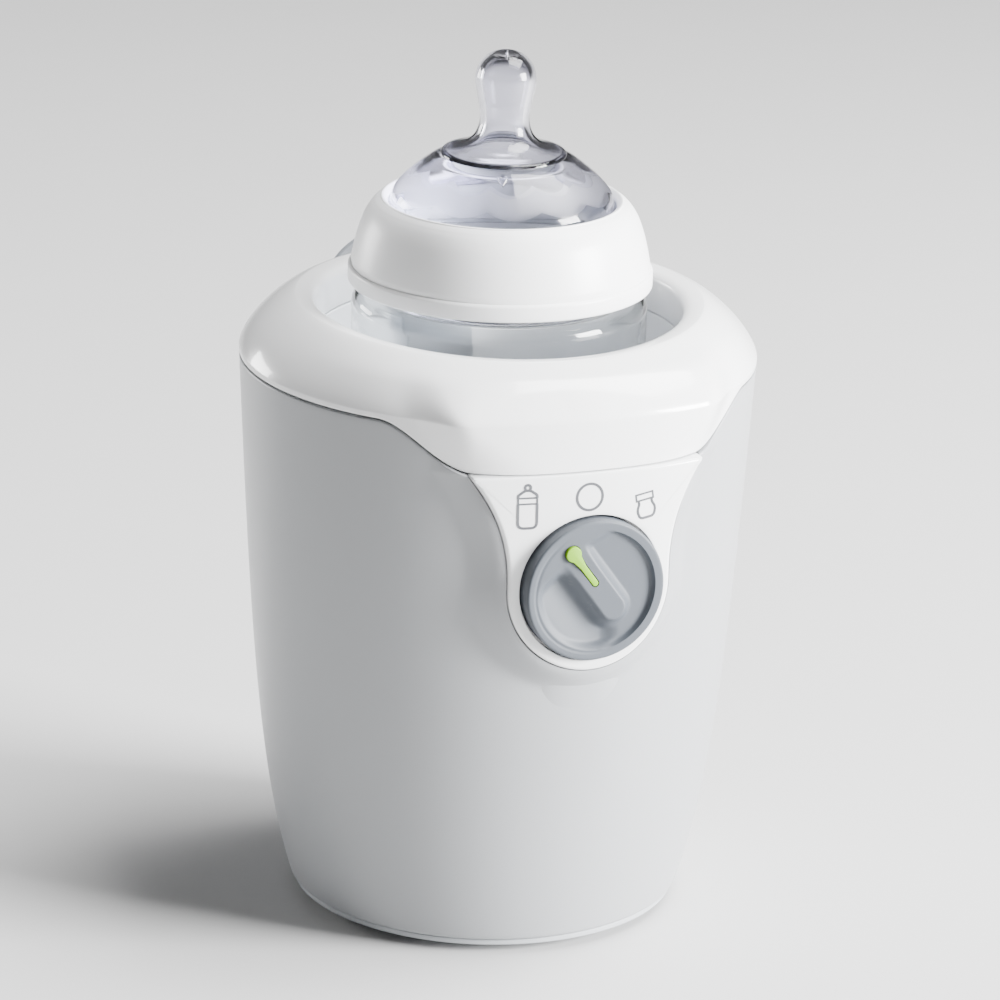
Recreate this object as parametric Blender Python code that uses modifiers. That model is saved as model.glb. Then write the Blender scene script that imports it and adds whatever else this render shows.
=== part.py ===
"""Countertop bottle warmer with a lift basket and a wide-neck feeding bottle.

Frame: +Z up, front towards -Y, origin at the centre of the base plate's flat underside.
Every sub-part is an object of its own in the "bottle_warmer" collection. Lengths are written in
millimetres and turned into metres where a mesh is made.
"""

import math

import bmesh
import bpy
from mathutils import Matrix, Vector

MM = 0.001
CLEARANCE = 0.3          # between pieces that touch on the real object
TAU = 2.0 * math.pi

# Housing: radius = foot + fill * (1 - exp(-z / rise)) + flare * z
FOOT_RADIUS = 46.34
FILL = 8.36
FILL_RISE = 29.4
FLARE = 0.0483
WALL = 2.2
HOUSING_BOTTOM = 1.7
SEAM_Z = 131.8           # seam between housing and cover, round the sides and the back
SEAM_GAP = 0.5

# Front: a gently curved face that stands proud of the round housing
FACE_Y = FOOT_RADIUS + 15.66     # how far forward the face is at the knob's height
FACE_TILT = 0.026        # the face leans back by this share of its height
FACE_CURVE = 110.0       # radius of the face seen from above
FLANK = 5.0              # width of the slope from the face down to the housing
APRON_FLANK = 11.0
STEP_AT_PANEL = 0.8      # how far the panel's edge stands over the housing beside it
PANEL_TOP_Z = SEAM_Z - 10.4
PANEL_TOP_HALF = 28.5
PANEL_HALF = 19.8
KNOB_DROP = 27.4         # from the panel's top edge down to the knob's centre
KNOB_Z = PANEL_TOP_Z - KNOB_DROP
PANEL_SWEEP_Z = KNOB_Z + 2.0    # above this the panel widens towards its top corners
PANEL_SWEEP = 2.2
PANEL_THICKNESS = 4.2
SWOOP_START = 27.0       # degrees from the front where the seam starts to rise
SWOOP_END = 48.0

# Cover
SHOULDER_Z = SEAM_Z + 1.5
CREST_RADIUS = 48.0
CREST_Z = SHOULDER_Z + 12.7
SHOULDER_POWER = 1.35
SHOULDER_STEPS = 6
MOUTH_RADIUS = 43.5
LIP_RADIUS = 43.2
LIP_BOTTOM_Z = CREST_Z - 9.8
BOSS_RADIUS = 3.4
BOSS_SKIN = 1.3          # what the cover keeps above a screw boss
BOSS_RING = 50.0

# Well
WELL_BOTTOM_RADIUS = 42.0
WELL_FLOOR_Z = 22.3
WELL_WALL = 1.9
FLANGE_RADIUS = 55.4
FLANGE_THICKNESS = 2.0
LEG_RING = 39.6
LEG_RADIUS = 3.4
FLOOR_HOLE_RADIUS = 29.8

# Base
BASE_THICKNESS = 3.2
BASE_STEP = 1.4
FOOT_PAD_RADIUS = 4.5
FOOT_HEIGHT = 2.7
FOOT_RECESS = 1.0
FOOT_RING = 36.0

# Knob and switch
KNOB_RADIUS = 16.75
KNOB_FACE_Y = FACE_Y + 2.3
KNOB_POCKET = 3.0
KNOB_RIM = 2.1
KNOB_BAR_HALF = 3.1
KNOB_BAR_OFFSET = 0.8    # the bar and its pointer sit this far to the right of the knob's centre line
KNOB_BAR_Y = FACE_Y + 3.2
KNOB_BAR_FOOT = 6.5      # from the knob's centre to the centre of the bar's round lower end
KNOB_WEB = 0.9
WELL_GAP = 0.55          # ring gap between the knob and its recess in the panel
RECESS_FLOOR_Y = FACE_Y - 3.4
NUT_FRONT_Y = FACE_Y - 2.1
POINTER_ANGLE = 36.5     # degrees anticlockwise from straight up, seen from the front
SPINDLE_RADIUS = 1.8
SWITCH_HALF = 12.0
SWITCH_FRONT_Y = FACE_Y - 5.5
SWITCH_BACK_Y = FACE_Y - 15.6
SPINDLE_BACK_Y = SWITCH_BACK_Y + 2.9
TERMINAL_Y = SWITCH_BACK_Y + 4.8
BUSHING_RADIUS = 4.5

# Basket
BASKET_FLOOR_Z = 24.2
BASKET_FLOOR = 2.0
BASKET_INNER = 36.4
BASKET_WALL = 1.8
BASKET_RING_TOP = 42.0
STRAP_HALF = 9.0
STRAP_INNER_Y = 38.9
STRAP_THICKNESS = 1.8
HOOK_OVER_CREST = 1.1
TAB_Y = 51.4
TAB_THICKNESS = 2.2
TAB_HALF = 24.5
TAB_BASE_Z = CREST_Z - 10.3
TAB_HEIGHT = 15.3

# Bottle, teat and collar
BOTTLE_RADIUS = 34.8
BOTTLE_WALL = 1.6
BOTTLE_SHOULDER_Z = CREST_Z + 2.9
NECK_RADIUS = 27.2
NECK_TOP_Z = BOTTLE_SHOULDER_Z + 17.3
COLLAR_BOTTOM_Z = BOTTLE_SHOULDER_Z + 0.7
COLLAR_LIP_RADIUS = 35.8
COLLAR_TOP_Z = COLLAR_BOTTOM_Z + 20.2
COLLAR_CAVITY = 28.6
TEAT_FLANGE = 28.1
TEAT_HOLE = 26.4
TEAT_WALL = 1.5
TIP_Z = COLLAR_TOP_Z + 35.2

BIG = 32                 # segments round the large turned pieces
SMALL = 12
COLUMN_STEP_FRONT = 4.5  # degrees between the shell's columns near the front
COLUMN_STEP_BACK = 13.0
FRONT_HALF_ANGLE = 49.5
PANEL_ROWS = [KNOB_Z - drop for drop in (28.0, 24.0, 21.0, 18.0, 13.0, 6.0)]   # housing rows beside it


# ---------------------------------------------------------------- scene and materials

def clear_scene():
    for obj in list(bpy.data.objects):
        bpy.data.objects.remove(obj, do_unlink=True)


def new_collection(name):
    collection = bpy.data.collections.new(name)
    bpy.context.scene.collection.children.link(collection)
    return collection


def make_material(name, color, roughness, metallic=0.0, alpha=1.0):
    material = bpy.data.materials.new(name)
    material.use_nodes = True
    shader = material.node_tree.nodes["Principled BSDF"]
    shader.inputs["Base Color"].default_value = (*color, 1.0)
    shader.inputs["Roughness"].default_value = roughness
    shader.inputs["Metallic"].default_value = metallic
    shader.inputs["Alpha"].default_value = alpha
    return material


FINISHES = {
    "gloss_white": ((0.86, 0.87, 0.88), 0.18),
    "pearl_white": ((0.74, 0.75, 0.77), 0.35),
    "satin_white": ((0.88, 0.88, 0.88), 0.4),
    "knob_grey": ((0.33, 0.37, 0.43), 0.35),
    "lime": ((0.36, 0.66, 0.02), 0.35),
    "clear_smoke": ((0.62, 0.64, 0.66), 0.25, 0.0, 0.6),
    "clear_plastic": ((0.85, 0.88, 0.92), 0.08, 0.0, 0.3),
    "silicone": ((0.8, 0.8, 0.9), 0.2, 0.0, 0.5),
    "tank_grey": ((0.78, 0.8, 0.82), 0.4),
    "rubber": ((0.05, 0.05, 0.055), 0.8),
    "red_silicone": ((0.55, 0.08, 0.05), 0.6),
    "steel": ((0.6, 0.6, 0.62), 0.3, 1.0),
    "aluminium": ((0.72, 0.73, 0.75), 0.35, 1.0),
    "ceramic": ((0.78, 0.74, 0.68), 0.7),
    "black_plastic": ((0.03, 0.03, 0.035), 0.45),
    "wire_blue": ((0.03, 0.12, 0.5), 0.45),
    "wire_brown": ((0.22, 0.09, 0.03), 0.45),
    "wire_green": ((0.1, 0.4, 0.06), 0.45),
    "wire_white": ((0.75, 0.74, 0.7), 0.5),
}


# ---------------------------------------------------------------- modelling helpers

class Workshop:
    """Holds the two collections and makes, cuts and joins the objects in them."""

    def __init__(self):
        self.parts = new_collection("bottle_warmer")
        self.cutters = new_collection("cutters")
        self.tool_count = 0

    def add(self, obj, name, finish):
        for collection in list(obj.users_collection):
            collection.objects.unlink(obj)
        self.parts.objects.link(obj)
        obj.name = name
        obj.data.name = name
        obj.data.materials.clear()
        obj.data.materials.append(make_material(name + "_finish", *FINISHES[finish]))
        return obj

    def tool(self, obj):
        """Turn an object into a hidden cutter."""
        for collection in list(obj.users_collection):
            collection.objects.unlink(obj)
        self.cutters.objects.link(obj)
        self.tool_count += 1
        obj.name = "tool_%03d" % self.tool_count
        obj.hide_render = True
        obj.display_type = "WIRE"
        return obj

    def boolean(self, obj, other, operation):
        self.tool(other)
        modifier = obj.modifiers.new(operation.lower(), "BOOLEAN")
        modifier.operation = operation
        modifier.solver = "EXACT"
        modifier.object = other

    def cut(self, obj, *others):
        for other in others:
            self.boolean(obj, other, "DIFFERENCE")

    def join(self, obj, *others):
        for other in others:
            self.boolean(obj, other, "UNION")


def link(obj):
    bpy.context.scene.collection.objects.link(obj)
    return obj


def mesh_object(bm):
    mesh = bpy.data.meshes.new("shape")
    bm.to_mesh(mesh)
    bm.free()
    return link(bpy.data.objects.new("shape", mesh))


def smooth(obj, angle=35.0):
    obj.data.shade_smooth()
    obj.data.set_sharp_from_angle(angle=math.radians(angle))
    return obj


def turned(profile, segments=BIG):
    """Turn a profile of (radius, height), outer side first and downwards.

    A profile that starts away from the axis is closed into a ring.
    """
    bm = bmesh.new()
    points = [bm.verts.new((r * MM, 0.0, z * MM)) for r, z in profile]
    pairs = list(zip(points, points[1:]))
    if profile[0][0] > 0.0:
        pairs.append((points[-1], points[0]))
    for a, b in pairs:
        bm.edges.new((a, b))
    obj = mesh_object(bm)
    screw = obj.modifiers.new("turn", "SCREW")
    screw.angle = TAU
    screw.steps = segments
    screw.render_steps = segments
    screw.use_merge_vertices = True
    screw.merge_threshold = 0.00001
    screw.use_smooth_shade = True
    return obj


def ring(inner, outer, bottom, top, segments=BIG):
    return turned([(outer, top), (outer, bottom), (inner, bottom), (inner, top)], segments)


def cylinder(radius, start, end, segments=SMALL, end_radius=None):
    """A cylinder, or a cone, between two points."""
    start, end = Vector(start) * MM, Vector(end) * MM
    bm = bmesh.new()
    length = (end - start).length
    end_radius = radius if end_radius is None else end_radius
    bmesh.ops.create_cone(bm, cap_ends=True, segments=segments, radius1=radius * MM,
                          radius2=end_radius * MM, depth=length)
    turn = Vector((0, 0, 1)).rotation_difference(end - start).to_matrix().to_4x4()
    bmesh.ops.transform(bm, matrix=Matrix.Translation((start + end) / 2) @ turn, verts=bm.verts)
    return mesh_object(bm)


def box(low, high, bevel=0.0):
    low, high = Vector(low) * MM, Vector(high) * MM
    bm = bmesh.new()
    bmesh.ops.create_cube(bm, size=1.0)
    bmesh.ops.scale(bm, vec=high - low, verts=bm.verts)
    bmesh.ops.translate(bm, vec=(low + high) / 2, verts=bm.verts)
    obj = mesh_object(bm)
    if bevel:
        modifier = obj.modifiers.new("edges", "BEVEL")
        modifier.width = bevel * MM
        modifier.segments = 1
    return obj


def baked(obj):
    """Replace an object by a plain mesh of what its modifiers make, with loose caps welded."""
    bpy.context.view_layer.update()
    evaluated = obj.evaluated_get(bpy.context.evaluated_depsgraph_get())
    mesh = bpy.data.meshes.new_from_object(evaluated)
    bm = bmesh.new()
    bm.from_mesh(mesh)
    bmesh.ops.remove_doubles(bm, verts=bm.verts, dist=0.000005)
    bm.to_mesh(mesh)
    bm.free()
    result = link(bpy.data.objects.new("shape", mesh))
    result.matrix_world = obj.matrix_world
    bpy.data.objects.remove(obj, do_unlink=True)
    return result


def front_plate(outline, near, far):
    """Extrude an outline of (x, z) along Y, from `near` to `far` millimetres forward."""
    curve = bpy.data.curves.new("outline", "CURVE")
    curve.dimensions = "2D"
    curve.fill_mode = "BOTH"
    curve.extrude = (far - near) / 2 * MM
    spline = curve.splines.new("POLY")
    spline.points.add(len(outline) - 1)
    spline.use_cyclic_u = True
    for point, (x, z) in zip(spline.points, outline):
        point.co = (x * MM, z * MM, 0.0, 1.0)
    obj = link(bpy.data.objects.new("outline", curve))
    obj.matrix_world = (Matrix.Translation((0, -(near + far) / 2 * MM, 0))
                        @ Matrix.Rotation(math.radians(90), 4, "X"))
    return baked(obj)


def arc(cx, cz, radius, start, end, steps):
    """Points of an arc; angles in degrees, anticlockwise from +X."""
    angles = [math.radians(start + (end - start) * i / steps) for i in range(steps + 1)]
    return [(cx + radius * math.cos(a), cz + radius * math.sin(a)) for a in angles]


def smoothstep(low, high, value):
    share = min(1.0, max(0.0, (value - low) / (high - low)))
    return share * share * (3.0 - 2.0 * share)


def smooth_route(points, steps=2):
    """Read a centripetal Catmull-Rom curve through the given points."""
    points = [Vector(p) for p in points]
    padded = [2 * points[0] - points[1], *points, 2 * points[-1] - points[-2]]
    route = []
    for near, start, end, far in zip(padded, padded[1:], padded[2:], padded[3:]):
        t1 = math.sqrt((start - near).length)
        t2 = t1 + math.sqrt((end - start).length)
        t3 = t2 + math.sqrt((far - end).length)
        for i in range(steps):
            t = t1 + (t2 - t1) * i / steps
            a1 = near.lerp(start, t / t1)
            a2 = start.lerp(end, (t - t1) / (t2 - t1))
            a3 = end.lerp(far, (t - t2) / (t3 - t2))
            b1 = a1.lerp(a2, t / t2)
            b2 = a2.lerp(a3, (t - t1) / (t3 - t1))
            route.append(b1.lerp(b2, (t - t1) / (t2 - t1)))
    return [*route, points[-1]]


def wire(points, radius=0.9):
    curve = bpy.data.curves.new("wire", "CURVE")
    curve.dimensions = "3D"
    curve.bevel_depth = radius * MM
    curve.bevel_resolution = 1
    curve.use_fill_caps = True
    route = smooth_route(points)
    spline = curve.splines.new("POLY")
    spline.points.add(len(route) - 1)
    for point, place in zip(spline.points, route):
        point.co = (*(place * MM), 1.0)
    return baked(link(bpy.data.objects.new("wire", curve)))


def on_ring(radius, degrees, z=0.0):
    """A point on a ring; 0 degrees is +X and 90 degrees is the back."""
    return (radius * math.cos(math.radians(degrees)), radius * math.sin(math.radians(degrees)), z)


def upright(radius, spot, low, high, segments=SMALL, end_radius=None):
    """A cylinder that stands over a spot, between two heights."""
    return cylinder(radius, lifted(spot, low), lifted(spot, high), segments, end_radius)


def lifted(point, z):
    return (point[0], point[1], z)


# ---------------------------------------------------------------- the outer form

def body_radius(z):
    return FOOT_RADIUS + FILL * (1.0 - math.exp(-z / FILL_RISE)) + FLARE * z


COVER_RADIUS = body_radius(SHOULDER_Z)


def face_depth(x, z):
    """How far forward the front face is."""
    return FACE_Y + FACE_TILT * (KNOB_Z - z) - x * x / (2.0 * FACE_CURVE)


def panel_half_width(z):
    """Half-width of the control panel at a height above its round lower end."""
    if z <= PANEL_SWEEP_Z:
        return PANEL_HALF
    share = (z - PANEL_SWEEP_Z) / (PANEL_TOP_Z - PANEL_SWEEP_Z)
    return PANEL_HALF + (PANEL_TOP_HALF - PANEL_HALF) * share ** PANEL_SWEEP


def outside_panel(x, z):
    """Rough distance from the panel's outline, zero inside it."""
    if z < KNOB_Z:
        return max(0.0, math.hypot(x, z - KNOB_Z) - PANEL_HALF)
    return max(0.0, abs(x) - panel_half_width(min(z, PANEL_TOP_Z)))


def seam_height(degrees):
    """Height of the seam under the cover, by angle from the front."""
    rise = smoothstep(SWOOP_START, SWOOP_END, abs(degrees))
    return PANEL_TOP_Z + (SEAM_Z - PANEL_TOP_Z) * rise


def pushed(x, z, radius, share):
    """Distance from the axis after the front face has pushed a point out by a share."""
    depth = math.sqrt(max(radius * radius - x * x, 0.0))
    return depth + max(0.0, face_depth(x, z) - depth) * share


def housing_point(degrees, z):
    angle = math.radians(degrees)
    radius = body_radius(z)
    x, forward = radius * math.sin(angle), radius * math.cos(angle)
    if forward > 0.0:
        gap = outside_panel(x, z)
        corner = 1.0 - 0.5 * smoothstep(PANEL_TOP_Z - 12.0, PANEL_TOP_Z, z)
        share = (1.0 - smoothstep(0.0, FLANK, gap)) * corner
        forward = max(forward, pushed(x, z, radius, share) - STEP_AT_PANEL * share)
    return Vector((x, -forward, z)) * MM


def shoulder_height(radius):
    """Height of the cover's outside at a radius between its crest and its widest ring."""
    out = (radius - CREST_RADIUS) / (COVER_RADIUS - CREST_RADIUS)
    return SHOULDER_Z + (CREST_Z - SHOULDER_Z) * (1.0 - out ** SHOULDER_POWER) ** (1.0 / SHOULDER_POWER)


def cover_profile():
    """Outer surface above the seam: shoulder, crest, edge of the mouth and inner lip."""
    points = []
    steps = SHOULDER_STEPS
    for i in range(1, steps + 1):
        t = math.radians(90.0 * i / steps)
        points.append((CREST_RADIUS + (COVER_RADIUS - CREST_RADIUS) * math.cos(t) ** (2 / SHOULDER_POWER),
                       SHOULDER_Z + (CREST_Z - SHOULDER_Z) * math.sin(t) ** (2 / SHOULDER_POWER)))
    points += [((CREST_RADIUS + MOUTH_RADIUS) / 2, CREST_Z - 0.3), (MOUTH_RADIUS + 0.3, CREST_Z - 1.6),
               (LIP_RADIUS, CREST_Z - 4.0), (LIP_RADIUS, LIP_BOTTOM_Z)]
    return points


def cover_point(degrees, radius, z):
    angle = math.radians(degrees)
    x, forward = radius * math.sin(angle), radius * math.cos(angle)
    if forward > 0.0 and radius > CREST_RADIUS:
        wide_x, wide = COVER_RADIUS * math.sin(angle), COVER_RADIUS * math.cos(angle)
        proud = max(0.0, face_depth(wide_x, z) - wide)
        inward = (z - seam_height(degrees)) + (SWOOP_START - abs(degrees)) * 0.6
        share = smoothstep(-APRON_FLANK * 0.5, APRON_FLANK, inward)
        fade = 1.0 - smoothstep(SHOULDER_Z, CREST_Z, z)
        sides = 1.0 - smoothstep(SWOOP_START, SWOOP_END, abs(degrees))
        forward += proud * share * fade * max(sides, 0.0)
    return Vector((x, -forward, z)) * MM


def shell_columns():
    front = [i * COLUMN_STEP_FRONT - FRONT_HALF_ANGLE
             for i in range(int(2 * FRONT_HALF_ANGLE / COLUMN_STEP_FRONT) + 1)]
    rest = 360.0 - 2 * FRONT_HALF_ANGLE
    count = int(rest / COLUMN_STEP_BACK)
    back = [FRONT_HALF_ANGLE + rest * i / count for i in range(1, count)]
    return front + back


def signed(degrees):
    return degrees - 360.0 if degrees > 180.0 else degrees


def lofted_shell(columns, wall):
    """A band of faces through the columns, closed round the axis, thickened inwards."""
    bm = bmesh.new()
    rows = [[bm.verts.new(point) for point in column] for column in columns]
    for here, there in zip(rows, rows[1:] + rows[:1]):
        for i in range(len(here) - 1):
            bm.faces.new((here[i], there[i], there[i + 1], here[i + 1]))
    obj = mesh_object(bm)
    solidify = obj.modifiers.new("wall", "SOLIDIFY")
    solidify.thickness = wall * MM
    solidify.offset = -1.0
    return obj


# ---------------------------------------------------------------- casings

def panel_outline(grow=0.0):
    """The panel's tongue: a round lower end and a top that sweeps out to two corners."""
    bottom = arc(0.0, KNOB_Z, PANEL_HALF + grow, 180.0, 360.0, 16)
    steps = 6
    heights = [PANEL_SWEEP_Z + (PANEL_TOP_Z - PANEL_SWEEP_Z) * i / steps for i in range(steps + 1)]
    right = [(panel_half_width(z) + grow, z) for z in heights[:-1]]
    corner = [(PANEL_TOP_HALF + grow, PANEL_TOP_Z + max(grow, 0.0))]
    side = right + corner
    return bottom + side + [(-x, z) for x, z in reversed(side)]


def make_outer_housing(shop):
    columns = []
    low_rows = [HOUSING_BOTTOM + (PANEL_ROWS[0] - HOUSING_BOTTOM) * (i / 5) ** 1.4 for i in range(5)]
    for degrees in shell_columns():
        top = seam_height(signed(degrees)) - SEAM_GAP / 2
        high_rows = [PANEL_ROWS[-1] + (top - PANEL_ROWS[-1]) * i / 3 for i in range(1, 4)]
        columns.append([housing_point(signed(degrees), z) for z in (*low_rows, *PANEL_ROWS, *high_rows)])
    obj = shop.add(lofted_shell(columns, WALL), "outer_housing", "pearl_white")
    shop.cut(obj, front_plate(panel_outline(CLEARANCE), FACE_Y - 17.0, FACE_Y + 8.0))
    wall = body_radius(GLAND_Z)
    start, end = gland_axis(wall - 3.0 * WALL - 2.0), gland_axis(wall + WALL)
    shop.cut(obj, cylinder(GLAND_NECK + CLEARANCE, start, end, 20))
    smooth(obj)


def make_top_cover(shop):
    columns = []
    profile = cover_profile()
    for degrees in shell_columns():
        angle = signed(degrees)
        low = seam_height(angle) + SEAM_GAP / 2
        heights = [low + (SHOULDER_Z - low) * i / 2 for i in range(3)]
        column = [cover_point(angle, body_radius(z), z) for z in heights]
        column += [cover_point(angle, r, z) for r, z in profile]
        columns.append(column)
    obj = shop.add(lofted_shell(columns, WALL), "top_cover", "gloss_white")
    for degrees in COVER_SCREW_ANGLES:
        spot = on_ring(BOSS_RING, degrees)
        shop.join(obj, upright(BOSS_RADIUS, spot, FLANGE_TOP + CLEARANCE, BOSS_TOP_Z, 16))
        shop.cut(obj, upright(SCREW_HOLE, spot, FLANGE_TOP - 2.0, BOSS_TOP_Z - BOSS_ROOF, 10))
    smooth(obj)


def make_control_panel(shop):
    bm = bmesh.new()
    half, columns, rows = PANEL_TOP_HALF + 3.0, 12, 6
    low, high = KNOB_Z - PANEL_HALF - 3.0, PANEL_TOP_Z + 3.0
    grid = []
    for j in range(rows + 1):
        z = low + (high - low) * j / rows
        xs = [half * (2.0 * i / columns - 1.0) for i in range(columns + 1)]
        grid.append([bm.verts.new(Vector((x, -face_depth(x, z), z)) * MM) for x in xs])
    for lower, upper in zip(grid, grid[1:]):
        for i in range(columns):
            bm.faces.new((lower[i], lower[i + 1], upper[i + 1], upper[i]))
    slab = mesh_object(bm)
    solidify = slab.modifiers.new("wall", "SOLIDIFY")
    solidify.thickness = PANEL_THICKNESS * MM
    solidify.offset = -1.0
    obj = shop.add(slab, "control_panel", "gloss_white")
    shop.boolean(obj, front_plate(panel_outline(), FACE_Y - 12.0, FACE_Y + 8.0), "INTERSECT")
    front = (0, -FACE_Y - 8.0, KNOB_Z)
    shop.cut(obj, cylinder(KNOB_RADIUS + WELL_GAP, (0, -RECESS_FLOOR_Y, KNOB_Z), front, 36))
    shop.cut(obj, cylinder(BUSHING_RADIUS + CLEARANCE, (0, -FACE_Y + 12.0, KNOB_Z), front, 20))
    smooth(obj)


# ---------------------------------------------------------------- base and feet

LEG_ANGLES = (45.0, 135.0, 225.0, 315.0)
FOOT_ANGLES = (0.0, 90.0, 180.0, 270.0)
COVER_SCREW_ANGLES = (90.0, 210.0, 330.0)
PLATE_SCREW_ANGLES = (90.0, 210.0, 330.0)
SCREW_RADIUS = 1.5
SCREW_HOLE = SCREW_RADIUS + CLEARANCE
HEAD_RADIUS = 2.9
HEAD_HEIGHT = 1.5
FLANGE_TOP = LIP_BOTTOM_Z - CLEARANCE
BOSS_TOP_Z = shoulder_height(BOSS_RING + BOSS_RADIUS) - BOSS_SKIN
BOSS_ROOF = 1.8          # solid plastic above a boss's screw hole
BASE_INNER_RADIUS = body_radius(HOUSING_BOTTOM) - WALL - CLEARANCE - 0.4


def screw(shop, name, head, tip, finish="steel"):
    """A pan-head screw whose head starts at `head` and whose shank ends at `tip`."""
    head, tip = Vector(head), Vector(tip)
    along = (tip - head).normalized()
    shoulder = head + along * HEAD_HEIGHT
    obj = shop.add(cylinder(HEAD_RADIUS, head, shoulder, 12), name, finish)
    shop.join(obj, cylinder(SCREW_RADIUS, shoulder - along * 0.4, tip, 8))
    slot = cylinder(HEAD_RADIUS * 0.42, head - along, head + along * 0.8, 4)
    shop.cut(obj, slot)
    return smooth(obj)


def make_base(shop):
    outer = body_radius(HOUSING_BOTTOM) - 0.8
    profile = [(0.0, BASE_THICKNESS), (BASE_INNER_RADIUS, BASE_THICKNESS), (BASE_INNER_RADIUS, BASE_STEP),
               (outer, BASE_STEP), (outer, 0.4), (outer - 0.4, 0.0), (0.0, 0.0)]
    obj = shop.add(turned(profile), "base_plate", "tank_grey")
    for degrees in FOOT_ANGLES:
        spot = on_ring(FOOT_RING, degrees)
        shop.cut(obj, upright(FOOT_PAD_RADIUS + CLEARANCE, spot, -2.0, FOOT_RECESS, 16))
    for degrees in LEG_ANGLES:
        spot = on_ring(LEG_RING, degrees)
        shop.cut(obj, upright(HEAD_RADIUS + CLEARANCE, spot, -2.0, 2.0, 14),
                 upright(SCREW_HOLE, spot, 1.0, 6.0, 10))
    for i in range(6):
        x = (i - 2.5) * 5.0
        shop.cut(obj, box((x - 1.0, -16.0, -2.0), (x + 1.0, -4.0, 6.0)))
    for side in (-1, 1):
        post = (side * CLAMP_HALF_SPAN, CLAMP_Y, BASE_THICKNESS)
        shop.join(obj, upright(2.8, post, BASE_THICKNESS - 1.0, CLAMP_Z - CLEARANCE, 12))
        shop.cut(obj, upright(SCREW_HOLE, post, BASE_THICKNESS + 0.6, CLAMP_Z + 2.0, 10))
    smooth(obj)
    for number, degrees in enumerate(FOOT_ANGLES, 1):
        spot = on_ring(FOOT_RING, degrees)
        top = FOOT_RECESS - CLEARANCE
        foot = upright(FOOT_PAD_RADIUS * 0.86, spot, top - FOOT_HEIGHT, top, 16, FOOT_PAD_RADIUS)
        smooth(shop.add(foot, "foot_%d" % number, "rubber"))
    for number, degrees in enumerate(LEG_ANGLES, 1):
        spot = on_ring(LEG_RING, degrees)
        screw(shop, "base_screw_%d" % number, lifted(spot, 0.2), lifted(spot, 12.0))


# ---------------------------------------------------------------- well and heater

PLATE_RIM_RADIUS = 36.4
PLATE_THICKNESS = 2.0
GASKET_THICKNESS = 0.8
WELL_FLOOR = 2.0
FLOOR_UNDER_Z = WELL_FLOOR_Z - WELL_FLOOR
PLATE_TOP_Z = FLOOR_UNDER_Z - GASKET_THICKNESS - 2 * CLEARANCE
PLATE_UNDER_Z = PLATE_TOP_Z - PLATE_THICKNESS
PLATE_SCREW_RING = 33.2
PTC_HEIGHT = 4.0
PTC_BOTTOM_Z = PLATE_UNDER_Z - CLEARANCE - PTC_HEIGHT
CLAMP_SCREW_X = 21.5


def make_well(shop):
    wall = WELL_WALL
    profile = [
        (FLANGE_RADIUS, FLANGE_TOP), (FLANGE_RADIUS, FLANGE_TOP - FLANGE_THICKNESS),
        (LIP_RADIUS + wall + 1.0, FLANGE_TOP - FLANGE_THICKNESS),
        (LIP_RADIUS + wall, FLANGE_TOP - FLANGE_THICKNESS - 1.0),
        (WELL_BOTTOM_RADIUS + wall, FLOOR_UNDER_Z + 3.0), (WELL_BOTTOM_RADIUS + wall - 3.0, FLOOR_UNDER_Z),
        (FLOOR_HOLE_RADIUS, FLOOR_UNDER_Z), (FLOOR_HOLE_RADIUS, WELL_FLOOR_Z),
        (WELL_BOTTOM_RADIUS - 1.6, WELL_FLOOR_Z), (WELL_BOTTOM_RADIUS, WELL_FLOOR_Z + 1.6),
        (LIP_RADIUS, FLANGE_TOP)]
    obj = shop.add(turned(profile), "water_tank", "tank_grey")
    for degrees in LEG_ANGLES:
        spot = on_ring(LEG_RING, degrees)
        shop.join(obj, cylinder(LEG_RADIUS, lifted(spot, BASE_THICKNESS + CLEARANCE),
                                lifted(spot, FLOOR_UNDER_Z + 1.0), 14))
        shop.cut(obj, upright(SCREW_HOLE, spot, 1.0, 13.0, 10))
    for degrees in COVER_SCREW_ANGLES:
        spot = on_ring(BOSS_RING, degrees)
        shop.cut(obj, upright(SCREW_HOLE, spot, FLANGE_TOP - 8.0, FLANGE_TOP + 2.0, 10))
    for degrees in PLATE_SCREW_ANGLES:
        spot = on_ring(PLATE_SCREW_RING, degrees)
        shop.cut(obj, upright(SCREW_HOLE, spot, 15.0, WELL_FLOOR_Z - 0.6, 10))
    smooth(obj)
    head_z = FLANGE_TOP - FLANGE_THICKNESS - CLEARANCE - HEAD_HEIGHT
    for number, degrees in enumerate(COVER_SCREW_ANGLES, 1):
        spot = on_ring(BOSS_RING, degrees)
        tip = lifted(spot, BOSS_TOP_Z - BOSS_ROOF - 0.6)
        screw(shop, "cover_screw_%d" % number, lifted(spot, head_z), tip)


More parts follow.
